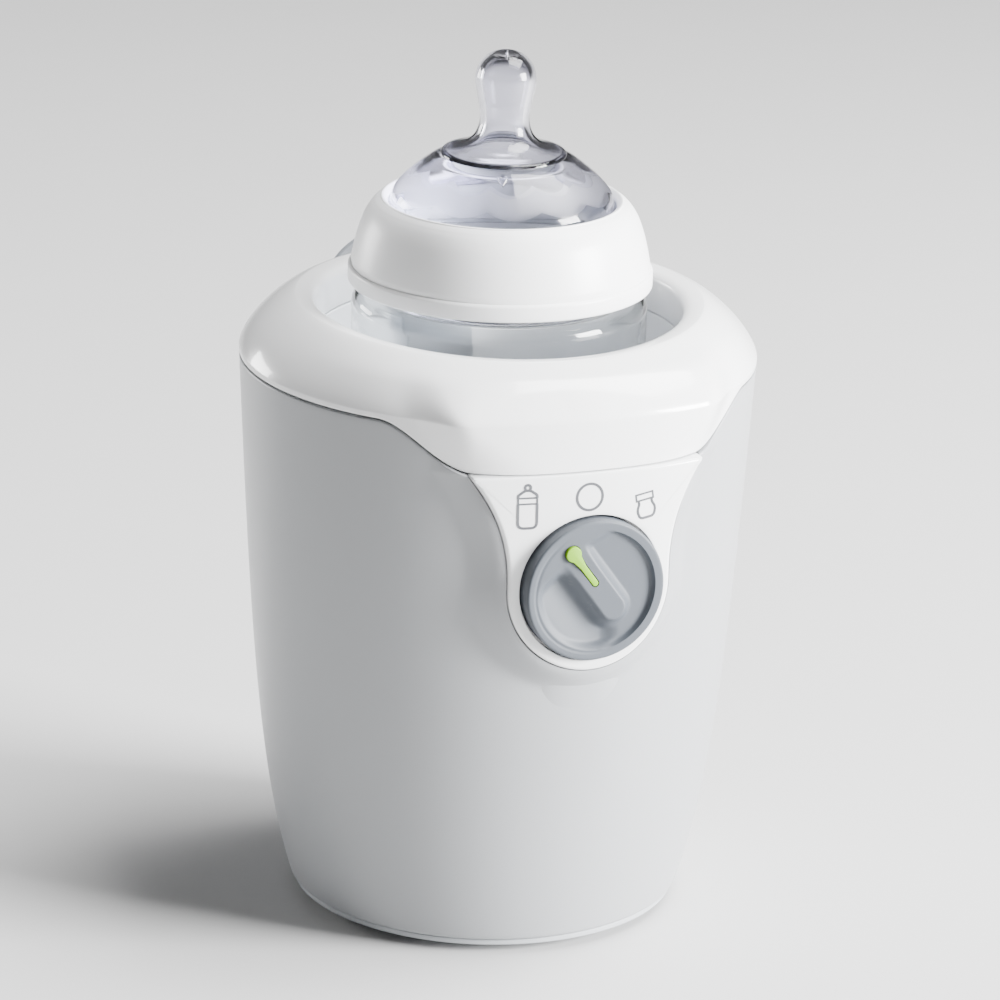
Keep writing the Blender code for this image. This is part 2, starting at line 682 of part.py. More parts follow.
def make_heater(shop):
    gasket = ring(FLOOR_HOLE_RADIUS + 0.6, PLATE_SCREW_RING - 2.2, PLATE_TOP_Z + CLEARANCE,
                  FLOOR_UNDER_Z - CLEARANCE)
    smooth(shop.add(gasket, "tank_gasket", "red_silicone"))

    raised = FLOOR_HOLE_RADIUS - 0.5
    top = WELL_FLOOR_Z - 0.4
    plate = turned([(0.0, top), (raised - 0.8, top), (raised, top - 0.8), (raised, PLATE_TOP_Z),
                    (PLATE_RIM_RADIUS, PLATE_TOP_Z), (PLATE_RIM_RADIUS, PLATE_UNDER_Z),
                    (0.0, PLATE_UNDER_Z)])
    plate = shop.add(plate, "heating_plate", "aluminium")
    for degrees in LEG_ANGLES:
        spot = on_ring(LEG_RING, degrees)
        shop.cut(plate, upright(LEG_RADIUS + 0.6, spot, PLATE_UNDER_Z - 2.0, FLOOR_UNDER_Z, 14))
    for degrees in PLATE_SCREW_ANGLES:
        spot = on_ring(PLATE_SCREW_RING, degrees)
        shop.cut(plate, upright(SCREW_HOLE, spot, PLATE_UNDER_Z - 2.0, FLOOR_UNDER_Z, 10))
    for side in (-1, 1):
        boss = (side * CLAMP_SCREW_X, 0.0, PTC_BOTTOM_Z)
        shop.join(plate, cylinder(3.2, boss, lifted(boss, PLATE_UNDER_Z + 0.5), 12))
        shop.cut(plate, upright(SCREW_HOLE, boss, PTC_BOTTOM_Z - 2.0, PLATE_UNDER_Z + 0.8, 10))
    smooth(plate)
    for number, degrees in enumerate(PLATE_SCREW_ANGLES, 1):
        spot = on_ring(PLATE_SCREW_RING, degrees)
        screw(shop, "plate_screw_%d" % number, lifted(spot, PLATE_UNDER_Z - CLEARANCE - HEAD_HEIGHT),
              lifted(spot, WELL_FLOOR_Z - 1.0))

    heater = box((-15.0, -9.0, PTC_BOTTOM_Z), (15.0, 9.0, PTC_BOTTOM_Z + PTC_HEIGHT), 0.6)
    shop.add(heater, "ptc_heater", "ceramic")
    strap_top = PTC_BOTTOM_Z - CLEARANCE
    reach = CLAMP_SCREW_X + 4.0
    strap = box((-reach, -4.5, strap_top - 1.0), (reach, 4.5, strap_top), 0.2)
    strap = shop.add(strap, "heater_clamp", "steel")
    for number, side in enumerate((-1, 1), 1):
        spot = (side * CLAMP_SCREW_X, 0.0, strap_top - 1.0)
        shop.cut(strap, upright(SCREW_HOLE, spot, strap_top - 4.0, strap_top + 4.0, 10))
        screw(shop, "clamp_screw_%d" % number, lifted(spot, strap_top - 1.0 - CLEARANCE - HEAD_HEIGHT),
              lifted(spot, PLATE_UNDER_Z + 0.3))

    top = PLATE_UNDER_Z - CLEARANCE
    body = turned([(0.0, top), (7.0, top), (7.0, top - 1.2), (5.6, top - 1.2), (5.6, top - 4.4),
                   (0.0, top - 4.4)], 20)
    body.location = (0.0, -20.0 * MM, 0.0)
    smooth(shop.add(body, "thermostat", "black_plastic"))
    clip = [(-12.0, top), (-12.0, top - 0.6), (-7.9, top - 0.6), (-7.9, top - 5.4), (7.9, top - 5.4),
            (7.9, top - 0.6), (12.0, top - 0.6), (12.0, top), (7.3, top), (7.3, top - 4.8), (-7.3, top - 4.8),
            (-7.3, top)]
    shop.add(front_plate(clip[::-1], 18.0, 22.0), "thermostat_clip", "steel")

    fuse_z = PTC_BOTTOM_Z + 0.4
    shop.add(cylinder(2.0, (-5.0, 17.0, fuse_z), (5.0, 17.0, fuse_z), 12), "thermal_fuse", "steel")
    sleeve = ring(2.0 + CLEARANCE, 3.0, -8.0, 8.0, 14)
    sleeve.matrix_world = (Matrix.Translation((0.0, 17.0 * MM, fuse_z * MM))
                           @ Matrix.Rotation(math.radians(90), 4, "Y"))
    smooth(shop.add(sleeve, "fuse_sleeve", "wire_white"))


# ---------------------------------------------------------------- switch and knob

def front_turned(profile, segments):
    """A turned piece whose axis is the knob's: heights run forward, out of the panel."""
    obj = turned(profile, segments)
    obj.matrix_world = (Matrix.Translation((0.0, 0.0, KNOB_Z * MM))
                        @ Matrix.Rotation(math.radians(90), 4, "X"))
    return obj


def make_switch(shop):
    half, front = SWITCH_HALF, SWITCH_FRONT_Y
    body = box((-half, -front, KNOB_Z - half), (half, -SWITCH_BACK_Y, KNOB_Z + half), 1.0)
    body = shop.add(body, "rotary_switch", "black_plastic")
    shop.join(body, cylinder(BUSHING_RADIUS, (0, -front + 1.0, KNOB_Z), (0, -NUT_FRONT_Y, KNOB_Z), 20))
    bore_start, bore_end = (0, -SPINDLE_BACK_Y + CLEARANCE, KNOB_Z), (0, -FACE_Y - 8.0, KNOB_Z)
    shop.cut(body, cylinder(SPINDLE_RADIUS + CLEARANCE, bore_start, bore_end, 20))
    nut = front_turned([(7.0, NUT_FRONT_Y), (7.0, RECESS_FLOOR_Y + CLEARANCE),
                        (BUSHING_RADIUS + CLEARANCE, RECESS_FLOOR_Y + CLEARANCE),
                        (BUSHING_RADIUS + CLEARANCE, NUT_FRONT_Y)], 6)
    nut.modifiers["turn"].use_smooth_shade = False
    shop.cut(shop.add(nut, "switch_nut", "steel"),
             cylinder(BUSHING_RADIUS + CLEARANCE, (0, -FACE_Y + 4.0, KNOB_Z), (0, -FACE_Y - 2.0, KNOB_Z), 20))
    back = RECESS_FLOOR_Y + CLEARANCE
    seal = front_turned([(10.4, NUT_FRONT_Y), (10.4, back), (8.8, back), (8.8, NUT_FRONT_Y)], 24)
    smooth(shop.add(seal, "knob_seal", "rubber"))


def in_knob(outline):
    """Shift an upright outline to the bar's line and turn it to where the pointer rests."""
    turn = math.radians(POINTER_ANGLE)
    shifted = [(x + KNOB_BAR_OFFSET, z) for x, z in outline]
    return [(x * math.cos(turn) - z * math.sin(turn), KNOB_Z + x * math.sin(turn) + z * math.cos(turn))
            for x, z in shifted]


def spoon_outline(grow=0.0):
    """The pointer: a round head near the rim and a narrow stem towards the centre."""
    head = arc(0.0, 11.3, 1.75 + grow, -52.0, 232.0, 10)
    stem_half = 0.75 + grow
    foot = arc(0.0, 2.2, stem_half, 180.0, 360.0, 4)
    return head + foot


def make_knob(shop):
    back = RECESS_FLOOR_Y + CLEARANCE
    floor = KNOB_FACE_Y - KNOB_POCKET
    inner = KNOB_RADIUS - KNOB_RIM
    hub = SPINDLE_RADIUS + CLEARANCE
    web = floor - KNOB_WEB
    profile = [(0.0, floor), (inner - 1.6, floor), (inner, KNOB_FACE_Y), (KNOB_RADIUS - 0.6, KNOB_FACE_Y),
               (KNOB_RADIUS, KNOB_FACE_Y - 0.6), (KNOB_RADIUS, back), (KNOB_RADIUS - 1.4, back),
               (KNOB_RADIUS - 1.4, web), (0.0, web)]
    knob = shop.add(front_turned(profile, 40), "knob", "knob_grey")
    half = KNOB_BAR_HALF
    bar = arc(0.0, -KNOB_BAR_FOOT, half, 180.0, 360.0, 6) + [(half, inner), (-half, inner)]
    shop.join(knob, front_plate(in_knob(bar), web + 0.3, KNOB_BAR_Y))
    shop.cut(knob, cylinder(hub, (0, -web + 2.0, KNOB_Z), (0, -KNOB_BAR_Y + 1.6, KNOB_Z), 16))
    shop.cut(knob, front_plate(in_knob(spoon_outline(CLEARANCE)), KNOB_BAR_Y - 1.0, KNOB_BAR_Y + 2.0))
    smooth(knob)
    pointer = front_plate(in_knob(spoon_outline()), KNOB_BAR_Y - 0.7, KNOB_BAR_Y + 0.1)
    smooth(shop.add(pointer, "knob_pointer", "lime"))
    spindle = cylinder(SPINDLE_RADIUS, (0, -SPINDLE_BACK_Y, KNOB_Z), (0, -KNOB_BAR_Y + 1.9, KNOB_Z), 16)
    smooth(shop.add(spindle, "switch_spindle", "wire_white"))


# ---------------------------------------------------------------- wiring and cord entry

GLAND_TILT = 13.0        # the rear wall leans out by this angle, and the gland is square to it
GLAND_Z = 12.5
GLAND_NECK = 5.4
CORD_RADIUS = 4.0
CLAMP_Y = 38.6
CLAMP_Z = 8.4
CLAMP_HALF_SPAN = 8.0
BLOCK_LOW = (-13.0, 23.0, BASE_THICKNESS + CLEARANCE)
BLOCK_HIGH = (13.0, 32.0, 11.0)


def gland_axis(distance):
    """A point on the gland's axis; its distance is measured back from the object's axis."""
    wall = body_radius(GLAND_Z)
    tilt = math.radians(GLAND_TILT)
    along = distance - wall
    return (0.0, wall + along * math.cos(tilt), GLAND_Z - along * math.sin(tilt))


def make_cord_entry(shop):
    wall = body_radius(GLAND_Z)
    inside = -WALL - 5 * CLEARANCE
    bore = CORD_RADIUS + 0.2
    profile = [(bore + 1.0, 3.6), (7.1, 2.4), (7.5, 0.9), (GLAND_NECK, 0.7), (GLAND_NECK, inside),
               (6.9, inside), (6.9, inside - 1.0), (bore, inside - 1.0), (bore, 3.6)]
    gland = turned(profile, 20)
    gland.matrix_world = (Matrix.Translation(Vector(gland_axis(wall)) * MM)
                          @ Matrix.Rotation(math.radians(-90.0 - GLAND_TILT), 4, "X"))
    smooth(shop.add(gland, "cord_gland", "wire_white"))
    reach = CLAMP_HALF_SPAN + 3.5
    bar = box((-reach, CLAMP_Y - 3.0, CLAMP_Z), (reach, CLAMP_Y + 3.0, CLAMP_Z + 2.4), 0.3)
    bar = shop.add(bar, "cord_clamp", "black_plastic")
    for number, side in enumerate((-1, 1), 1):
        spot = (side * CLAMP_HALF_SPAN, CLAMP_Y, CLAMP_Z)
        shop.cut(bar, upright(SCREW_HOLE, spot, CLAMP_Z - 2.0, CLAMP_Z + 6.0, 10))
        screw(shop, "cord_clamp_screw_%d" % number, lifted(spot, CLAMP_Z + 2.4 + CLEARANCE + HEAD_HEIGHT),
              lifted(spot, BASE_THICKNESS + 1.0))


def make_wiring(shop):
    block = shop.add(box(BLOCK_LOW, BLOCK_HIGH, 0.4), "terminal_block", "wire_white")
    for i in range(4):
        x = (i - 1.5) * 6.0
        shop.cut(block, cylinder(1.3, (x, 27.5, 6.0), (x, 27.5, 14.0), 8))
    near_y = BLOCK_LOW[1] - CLEARANCE
    side_x = BLOCK_HIGH[0] + CLEARANCE
    stub = 2.5               # every wire leaves and reaches its terminal straight
    switch_foot = KNOB_Z - SWITCH_HALF - CLEARANCE
    for number, side in enumerate((-1, 1), 1):
        route = [(side * side_x, 27.5, 7.0), (side * (side_x + stub), 27.5, 7.0), (side * 21.0, 21.0, 6.0),
                 (side * 27.0, 9.0, 5.6), (side * 26.0, -12.0, 5.6), (side * 14.0, -35.0, 8.5),
                 (side * 8.0, -45.2, 16.5), (side * 7.0, -48.2, 30.0), (side * 6.0, -50.0, 55.0),
                 (side * 5.0, -TERMINAL_Y, switch_foot - stub), (side * 5.0, -TERMINAL_Y, switch_foot)]
        smooth(shop.add(wire(route), "switch_wire_%d" % number, ("wire_brown", "wire_blue")[number - 1]))
        heater_y = 9.0 + CLEARANCE
        route = [(side * 4.2, near_y, 6.0), (side * 4.2, near_y - stub, 6.0), (side * 8.0, 17.0, 6.2),
                 (side * 10.5, 13.4, 10.0), (side * 10.5, heater_y + stub, PTC_BOTTOM_Z + 1.9),
                 (side * 10.5, heater_y, PTC_BOTTOM_Z + 1.9)]
        smooth(shop.add(wire(route), "heater_wire_%d" % number, "wire_white"))
    fuse_z = PTC_BOTTOM_Z + 0.4
    fuse_x = -8.0 - CLEARANCE
    route = [(fuse_x, 17.0, fuse_z), (fuse_x - stub, 17.0, fuse_z), (-16.5, 19.0, 10.6),
             (-side_x - stub, 25.0, 9.4), (-side_x, 25.0, 9.4)]
    smooth(shop.add(wire(route, 0.8), "fuse_wire", "wire_brown"))
    bond_z = PLATE_UNDER_Z - CLEARANCE
    route = [(9.0, near_y, 8.6), (9.0, near_y - stub, 8.6), (17.0, 18.5, 9.6), (24.5, 15.0, 10.6),
             (25.5, 10.0, bond_z - stub), (25.5, 10.0, bond_z)]
    smooth(shop.add(wire(route, 0.8), "earth_wire", "wire_green"))


# ---------------------------------------------------------------- basket, bottle, teat, collar

def make_basket(shop):
    bottom, floor_top = BASKET_FLOOR_Z, BASKET_FLOOR_Z + BASKET_FLOOR
    inner, outer = BASKET_INNER, BASKET_INNER + BASKET_WALL
    top = BASKET_RING_TOP
    cup = turned([(outer + 0.8, top), (outer + 0.8, top - 2.0), (outer, top - 3.0), (outer, bottom + 1.5),
                  (outer - 1.5, bottom), (8.0, bottom), (8.0, floor_top), (inner - 1.0, floor_top),
                  (inner, floor_top + 1.0), (inner, top)], 28)
    basket = shop.add(cup, "lift_basket", "clear_smoke")
    strap_outer = STRAP_INNER_Y + STRAP_THICKNESS
    hook_low = CREST_Z + HOOK_OVER_CREST
    strap = box((-STRAP_HALF, STRAP_INNER_Y, bottom + 4.0), (STRAP_HALF, strap_outer, hook_low + 2.0))
    foot = box((-STRAP_HALF, inner + 0.6, bottom + 4.0), (STRAP_HALF, STRAP_INNER_Y + 0.6, bottom + 12.0))
    bridge = box((-STRAP_HALF, STRAP_INNER_Y, hook_low), (STRAP_HALF, TAB_Y + 0.5, hook_low + 2.0))
    ellipse = [(TAB_HALF * math.cos(math.radians(a)), TAB_BASE_Z + TAB_HEIGHT * math.sin(math.radians(a)))
               for a in range(0, 181, 9)]
    tab = front_plate(ellipse, -TAB_Y - TAB_THICKNESS, -TAB_Y)
    rise = 1.0
    dome = [(r + rise, z + rise) for r, z in reversed(cover_profile()[:SHOULDER_STEPS])]
    skirt_z = SHOULDER_Z - 12.0
    shoulder = turned([(0.0, CREST_Z + rise), *dome, (COVER_RADIUS + rise, skirt_z), (0.0, skirt_z)], 60)
    shop.cut(tab, shoulder)
    tab = baked(tab)
    shop.join(basket, strap, foot, bridge, tab)
    for degrees in range(-60, 241, 60):
        spot = on_ring(24.0, degrees)
        shop.cut(basket, upright(6.0, spot, bottom - 2.0, floor_top + 2.0, 14))
    smooth(basket)


def offset_inwards(profile, wall):
    """The inside of a turned wall, by shifting each point along the profile's normal."""
    inside = []
    for i, (r, z) in enumerate(profile):
        before, after = profile[max(i - 1, 0)], profile[min(i + 1, len(profile) - 1)]
        dr, dz = after[0] - before[0], after[1] - before[1]
        length = math.hypot(dr, dz)
        inside.append((max(r + dz / length * wall, 0.0), z - dr / length * wall))
    return inside


def make_bottle(shop):
    radius, wall = BOTTLE_RADIUS, BOTTLE_WALL
    base = BASKET_FLOOR_Z + BASKET_FLOOR + CLEARANCE
    high, bore = BOTTLE_SHOULDER_Z, NECK_RADIUS - wall - 0.4
    outside = [(NECK_RADIUS, NECK_TOP_Z), (NECK_RADIUS, high + 0.9), (NECK_RADIUS + 1.0, high),
               (radius - 3.0, high - 0.4), (radius - 0.8, high - 1.6), (radius, high - 4.0),
               (radius, base + 7.0), (radius - 1.4, base + 2.6), (radius - 4.6, base), (0.0, base)]
    inside = [(0.0, base + wall), (radius - 5.4, base + wall), (radius - wall - 1.2, base + 3.6),
              (radius - wall, base + 7.4), (radius - wall, high - 4.4), (radius - wall - 0.8, high - 3.0),
              (radius - 4.0, high - 2.2), (bore + 1.0, high - 1.6), (bore, high), (bore, NECK_TOP_Z)]
    smooth(shop.add(turned(inside + outside, 28), "bottle_body", "clear_plastic"))


def teat_profile():
    """Outer profile of the teat from the tip down to its flange."""
    top = TIP_Z
    nipple = [(0.0, top), (3.4, top - 0.8), (5.9, top - 2.8), (7.1, top - 6.0), (6.7, top - 10.0),
              (5.8, top - 15.0), (6.3, top - 18.5), (8.0, top - 21.0), (10.9, top - 22.4)]
    dome = [(13.7, top - 24.0), (19.4, top - 27.6), (23.7, top - 31.4), (25.9, top - 34.0),
            (TEAT_HOLE, top - 36.6)]
    return nipple + dome


def make_teat(shop):
    outside = teat_profile()
    inside = offset_inwards(outside, TEAT_WALL)
    inside = [(0.0, TIP_Z - 2.4)] + inside[1:-1]
    flange_low, flange_top = NECK_TOP_Z + CLEARANCE, NECK_TOP_Z + CLEARANCE + 1.3
    flange = [(TEAT_HOLE, flange_top + 0.5), (TEAT_HOLE, flange_top), (TEAT_FLANGE, flange_top),
              (TEAT_FLANGE, flange_low), (TEAT_HOLE - TEAT_WALL, flange_low)]
    profile = outside[:-1] + flange + inside[::-1]
    smooth(shop.add(turned(profile, 24), "teat", "silicone"))


def make_collar(shop):
    low, top = COLLAR_BOTTOM_Z, COLLAR_TOP_Z
    lip = COLLAR_LIP_RADIUS
    outside = [(TEAT_HOLE + 1.2, top), (30.0, top - 1.0), (32.2, top - 4.6), (33.0, top - 7.8),
               (35.0, top - 14.6), (35.0, low + 4.3), (lip, low + 3.6), (lip, low + 0.4), (lip - 0.4, low)]
    cavity_top = NECK_TOP_Z + CLEARANCE + 1.3 + CLEARANCE
    inside = [(COLLAR_CAVITY, low), (COLLAR_CAVITY, cavity_top), (TEAT_HOLE + 0.4, cavity_top),
              (TEAT_HOLE + 0.4, top - 0.4)]
    smooth(shop.add(turned(outside + inside, 32), "collar", "satin_white"))


def main():
    clear_scene()
    shop = Workshop()
    make_outer_housing(shop)
    make_top_cover(shop)
    make_control_panel(shop)
    make_base(shop)
    make_well(shop)
    make_heater(shop)
    make_switch(shop)
    make_knob(shop)
    make_cord_entry(shop)
    make_wiring(shop)
    make_basket(shop)
    make_bottle(shop)
    make_teat(shop)
    make_collar(shop)


main()
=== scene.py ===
"""Studio picture of a countertop bottle warmer with a feeding bottle standing in its well.

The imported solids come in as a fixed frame. Each sub-assembly is a class that builds the fine
meshes standing for its solids and dresses them; each finish is a small frozen dataclass. Lengths
inside the classes are in millimetres and become metres where a mesh is made.
"""

import logging
import math
from dataclasses import dataclass, field
from enum import Enum
from typing import Callable, Iterable, Sequence

import bmesh
import bpy
from mathutils import Matrix, Vector


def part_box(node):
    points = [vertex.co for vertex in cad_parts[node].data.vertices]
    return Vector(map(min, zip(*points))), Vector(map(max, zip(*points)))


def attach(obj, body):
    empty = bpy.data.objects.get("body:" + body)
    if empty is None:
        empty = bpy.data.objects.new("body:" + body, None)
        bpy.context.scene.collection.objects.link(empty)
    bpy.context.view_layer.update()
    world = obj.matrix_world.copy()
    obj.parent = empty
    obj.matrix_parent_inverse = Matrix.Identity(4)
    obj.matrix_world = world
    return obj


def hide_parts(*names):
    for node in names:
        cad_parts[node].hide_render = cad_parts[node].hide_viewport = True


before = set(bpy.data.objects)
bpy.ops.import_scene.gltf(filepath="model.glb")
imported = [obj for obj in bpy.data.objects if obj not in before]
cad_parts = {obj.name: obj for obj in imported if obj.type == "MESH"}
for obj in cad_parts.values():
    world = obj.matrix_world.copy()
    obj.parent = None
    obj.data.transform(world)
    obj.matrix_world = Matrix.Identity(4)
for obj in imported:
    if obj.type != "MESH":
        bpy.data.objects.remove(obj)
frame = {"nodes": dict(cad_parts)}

log = logging.getLogger("bottle_warmer")

MM = 0.001
TAU = 2.0 * math.pi
Point = tuple[float, float]
Color = tuple[float, float, float]
Loop = list[Vector]


# ------------------------------------------------------------------ small helpers

def smoothstep(low: float, high: float, value: float) -> float:
    """Ease from 0 at `low` to 1 at `high`."""
    share = min(1.0, max(0.0, (value - low) / (high - low)))
    return share * share * (3.0 - 2.0 * share)


def spread(start: float, end: float, count: int) -> list[float]:
    """`count` evenly spaced values from `start` to `end`."""
    return [start + (end - start) * i / (count - 1) for i in range(count)]


def arc(center: Point, radius: float, start: float, end: float, count: int) -> list[Point]:
    """Points of an arc.

    Args:
        center: centre of the arc.
        radius: its radius.
        start: first angle in degrees, anticlockwise from the first axis.
        end: last angle in degrees.
        count: how many points.

    Returns:
        The points, first to last.
    """
    return [(center[0] + radius * math.cos(math.radians(a)), center[1] + radius * math.sin(math.radians(a)))
            for a in spread(start, end, count)]


def catmull(points: Sequence[Sequence[float]], steps: int) -> list[Vector]:
    """Read a smooth curve through the given points.

    Args:
        points: the points the curve passes, in two or three dimensions.
        steps: how many points to read from each stretch.

    Returns:
        The curve's points, with the last given point at the end.
    """
    given = [Vector((*p, 0.0)[:3]) for p in points]
    padded = [2 * given[0] - given[1], *given, 2 * given[-1] - given[-2]]
    curve = []
    for before, start, end, after in zip(padded, padded[1:], padded[2:], padded[3:]):
        t1 = max(math.sqrt((start - before).length), 1e-6)
        t2 = t1 + max(math.sqrt((end - start).length), 1e-6)
        t3 = t2 + max(math.sqrt((after - end).length), 1e-6)
        for i in range(steps):
            t = t1 + (t2 - t1) * i / steps
            a1, a2 = before.lerp(start, t / t1), start.lerp(end, (t - t1) / (t2 - t1))
            a3 = end.lerp(after, (t - t2) / (t3 - t2))
            curve.append(a1.lerp(a2, t / t2).lerp(a2.lerp(a3, (t - t1) / (t3 - t1)), (t - t1) / (t2 - t1)))
    return [*curve, given[-1]]


def rounded(profile: Sequence[tuple], segments: int = 4) -> list[Point]:
    """Round the corners of a profile.

    Args:
        profile: points (a, b) or (a, b, radius); a point with a radius is rounded.
        segments: faces in each round.

    Returns:
        The profile with its rounds put in.
    """
    result: list[Point] = []
    for i, point in enumerate(profile):
        here = Vector(point[:2])
        radius = point[2] if len(point) > 2 else 0.0
        if radius <= 0.0:
            result.append(tuple(here))
            continue
        before = Vector(profile[i - 1][:2]) - here
        after = Vector(profile[(i + 1) % len(profile)][:2]) - here
        reach = min(radius, before.length * 0.48, after.length * 0.48)
        start, end = here + before.normalized() * reach, here + after.normalized() * reach
        for t in spread(0.0, 1.0, segments + 1):
            result.append(tuple(start.lerp(here, t).lerp(here.lerp(end, t), t)))
    return result


class Joiner:
    """Turns loops of points into plain mesh objects."""

    @staticmethod
    def from_bmesh(name: str, bm: bmesh.types.BMesh, sharp: float = 40.0) -> bpy.types.Object:
        """Make an object from a bmesh and shade it smooth.

        Args:
            name: the piece's name.
            bm: the mesh; it is freed.
            sharp: edges sharper than this many degrees stay hard.

        Returns:
            The new object, at the origin.
        """
        mesh = bpy.data.meshes.new(name)
        bm.to_mesh(mesh)
        bm.free()
        mesh.shade_smooth()
        mesh.set_sharp_from_angle(angle=math.radians(sharp))
        obj = bpy.data.objects.new(name, mesh)
        bpy.context.scene.collection.objects.link(obj)
        return obj

    @staticmethod
    def skin(name: str, loops: Sequence[Loop], ring: bool = False, sharp: float = 40.0) -> bpy.types.Object:
        """Join closed loops of equal length into a skin.

        Args:
            name: the piece's name.
            loops: loops in millimetres; a loop whose points all meet becomes one pole.
            ring: also join the last loop to the first.
            sharp: edges sharper than this many degrees stay hard.

        Returns:
            A closed object whose faces point outwards.
        """
        bm = bmesh.new()
        rows = []
        for loop in loops:
            if (loop[0] - loop[len(loop) // 2]).length < 1e-6:
                rows.append([bm.verts.new(loop[0] * MM)] * len(loop))
            else:
                rows.append([bm.verts.new(p * MM) for p in loop])
        pairs = list(zip(rows, rows[1:])) + ([(rows[-1], rows[0])] if ring else [])
        for lower, upper in pairs:
            for i in range(len(lower)):
                j = (i + 1) % len(lower)
                corners = list(dict.fromkeys((lower[i], lower[j], upper[j], upper[i])))
                if len(corners) > 2:
                    bm.faces.new(corners)
        bmesh.ops.recalc_face_normals(bm, faces=bm.faces)
        if bm.calc_volume(signed=True) < 0.0:
            bmesh.ops.reverse_faces(bm, faces=bm.faces)
        return Joiner.from_bmesh(name, bm, sharp)

    @staticmethod
    def turned(name: str, profile: Sequence[Point], segments: int, sharp: float = 40.0,
               place: Callable[[float, float, float], Vector] | None = None) -> bpy.types.Object:
        """Turn a profile about the upright axis.

        Args:
            name: the piece's name.
            profile: points (radius, height); it is closed into a ring unless it ends on the axis.
            segments: faces round the axis.
            sharp: edges sharper than this many degrees stay hard.
            place: an optional map from (x, y, height) to the final place.

        Returns:
            The turned object.
        """
        angles = [TAU * i / segments for i in range(segments)]
        place = place or (lambda x, y, z: Vector((x, y, z)))
        loops = [[place(r * math.cos(a), r * math.sin(a), z) for a in angles] for r, z in profile]
        return Joiner.skin(name, loops, profile[0][0] > 1e-6 or profile[-1][0] > 1e-6, sharp)


def evaluated_copy(obj: bpy.types.Object) -> bpy.types.Object:
    """Turn an object with modifiers into a plain mesh of what they make, and remove the original."""
    bpy.context.view_layer.update()
    graph = bpy.context.evaluated_depsgraph_get()
    mesh = bpy.data.meshes.new_from_object(obj.evaluated_get(graph), depsgraph=graph)
    name, world = obj.name, obj.matrix_world.copy()
    bpy.data.objects.remove(obj, do_unlink=True)
    mesh.transform(world)
    mesh.name = name
    result = bpy.data.objects.new(name, mesh)
    bpy.context.scene.collection.objects.link(result)
    return result


def carved(obj: bpy.types.Object, tools: Iterable[bpy.types.Object], operation: str = "DIFFERENCE",
           sharp: float = 40.0) -> bpy.types.Object:
    """Cut or join an object with closed tool meshes, which are used up.

    Args:
        obj: the object to work on.
        tools: the closed meshes.
        operation: DIFFERENCE, UNION or INTERSECT.
        sharp: edges sharper than this many degrees stay hard in the result.

    Returns:
        A new plain object with the old one's name.
    """
    tools = list(tools)
    for tool in tools:
        modifier = obj.modifiers.new("carve", "BOOLEAN")
        modifier.operation = operation
        modifier.solver = "EXACT"
        modifier.object = tool
    result = evaluated_copy(obj)
    for tool in tools:
        bpy.data.objects.remove(tool, do_unlink=True)
    result.data.shade_smooth()
    result.data.set_sharp_from_angle(angle=math.radians(sharp))
    return result


def prism(outline: Sequence[Point], near: float, far: float) -> bpy.types.Object:
    """A closed bar with an (x, z) outline, from `near` to `far` millimetres in front of the axis."""
    loops = [[Vector((x, -depth, z)) for x, z in outline] for depth in (near, far)]
    bm = bmesh.new()
    rows = [[bm.verts.new(p * MM) for p in loop] for loop in loops]
    for i in range(len(outline)):
        j = (i + 1) % len(outline)
        bm.faces.new((rows[0][i], rows[0][j], rows[1][j], rows[1][i]))
    bm.faces.new(rows[0][::-1])
    bm.faces.new(rows[1])
    bmesh.ops.recalc_face_normals(bm, faces=bm.faces)
    return Joiner.from_bmesh("tool", bm)


# ------------------------------------------------------------------ shader groups

class Socket(Enum):
    """Kinds of socket used on the node groups."""

    VALUE = "NodeSocketFloat"
    COLOR = "NodeSocketColor"
    VECTOR = "NodeSocketVector"
    GEOMETRY = "NodeSocketGeometry"
    MATERIAL = "NodeSocketMaterial"
    COUNT = "NodeSocketInt"


class NodeTree:
    """Short names for adding and wiring nodes in one tree."""

    def __init__(self, tree: bpy.types.NodeTree) -> None:
        """Work on the given tree."""
        self.tree = tree

    def add(self, kind: str, settings: dict | None = None, **inputs: object) -> bpy.types.Node:
        """Add a node.

        Args:
            kind: the node's type name.
            settings: properties to set on the node.
            **inputs: socket values or links, with spaces in the names written as underscores.

        Returns:
            The new node.
        """
        node = self.tree.nodes.new(kind)
        for key, value in (settings or {}).items():
            setattr(node, key, value)
        for key, value in inputs.items():
            self.feed(node.inputs[key.replace("_", " ")], value)
        return node

    def feed(self, socket: bpy.types.NodeSocket, value: object) -> None:
        """Link a socket to another, or set its value."""
        if isinstance(value, bpy.types.NodeSocket):
            self.tree.links.new(value, socket)
        else:
            socket.default_value = value

    def math(self, operation: str, first: object, second: object = 0.0) -> bpy.types.NodeSocket:
        """Add a Math node and return its output."""
        node = self.tree.nodes.new("ShaderNodeMath")
        node.operation = operation
        self.feed(node.inputs[0], first)
        self.feed(node.inputs[1], second)
        return node.outputs[0]

    def ramp(self, value: bpy.types.NodeSocket, low: float, high: float, to_low: float = 0.0,
             to_high: float = 1.0) -> bpy.types.NodeSocket:
        """Map a value smoothly from one range to another and return the output."""
        node = self.add("ShaderNodeMapRange", {"interpolation_type": "SMOOTHSTEP"})
        for name, given in (("Value", value), ("From Min", low), ("From Max", high), ("To Min", to_low),
                            ("To Max", to_high)):
            self.feed(node.inputs[name], given)
        return node.outputs[0]


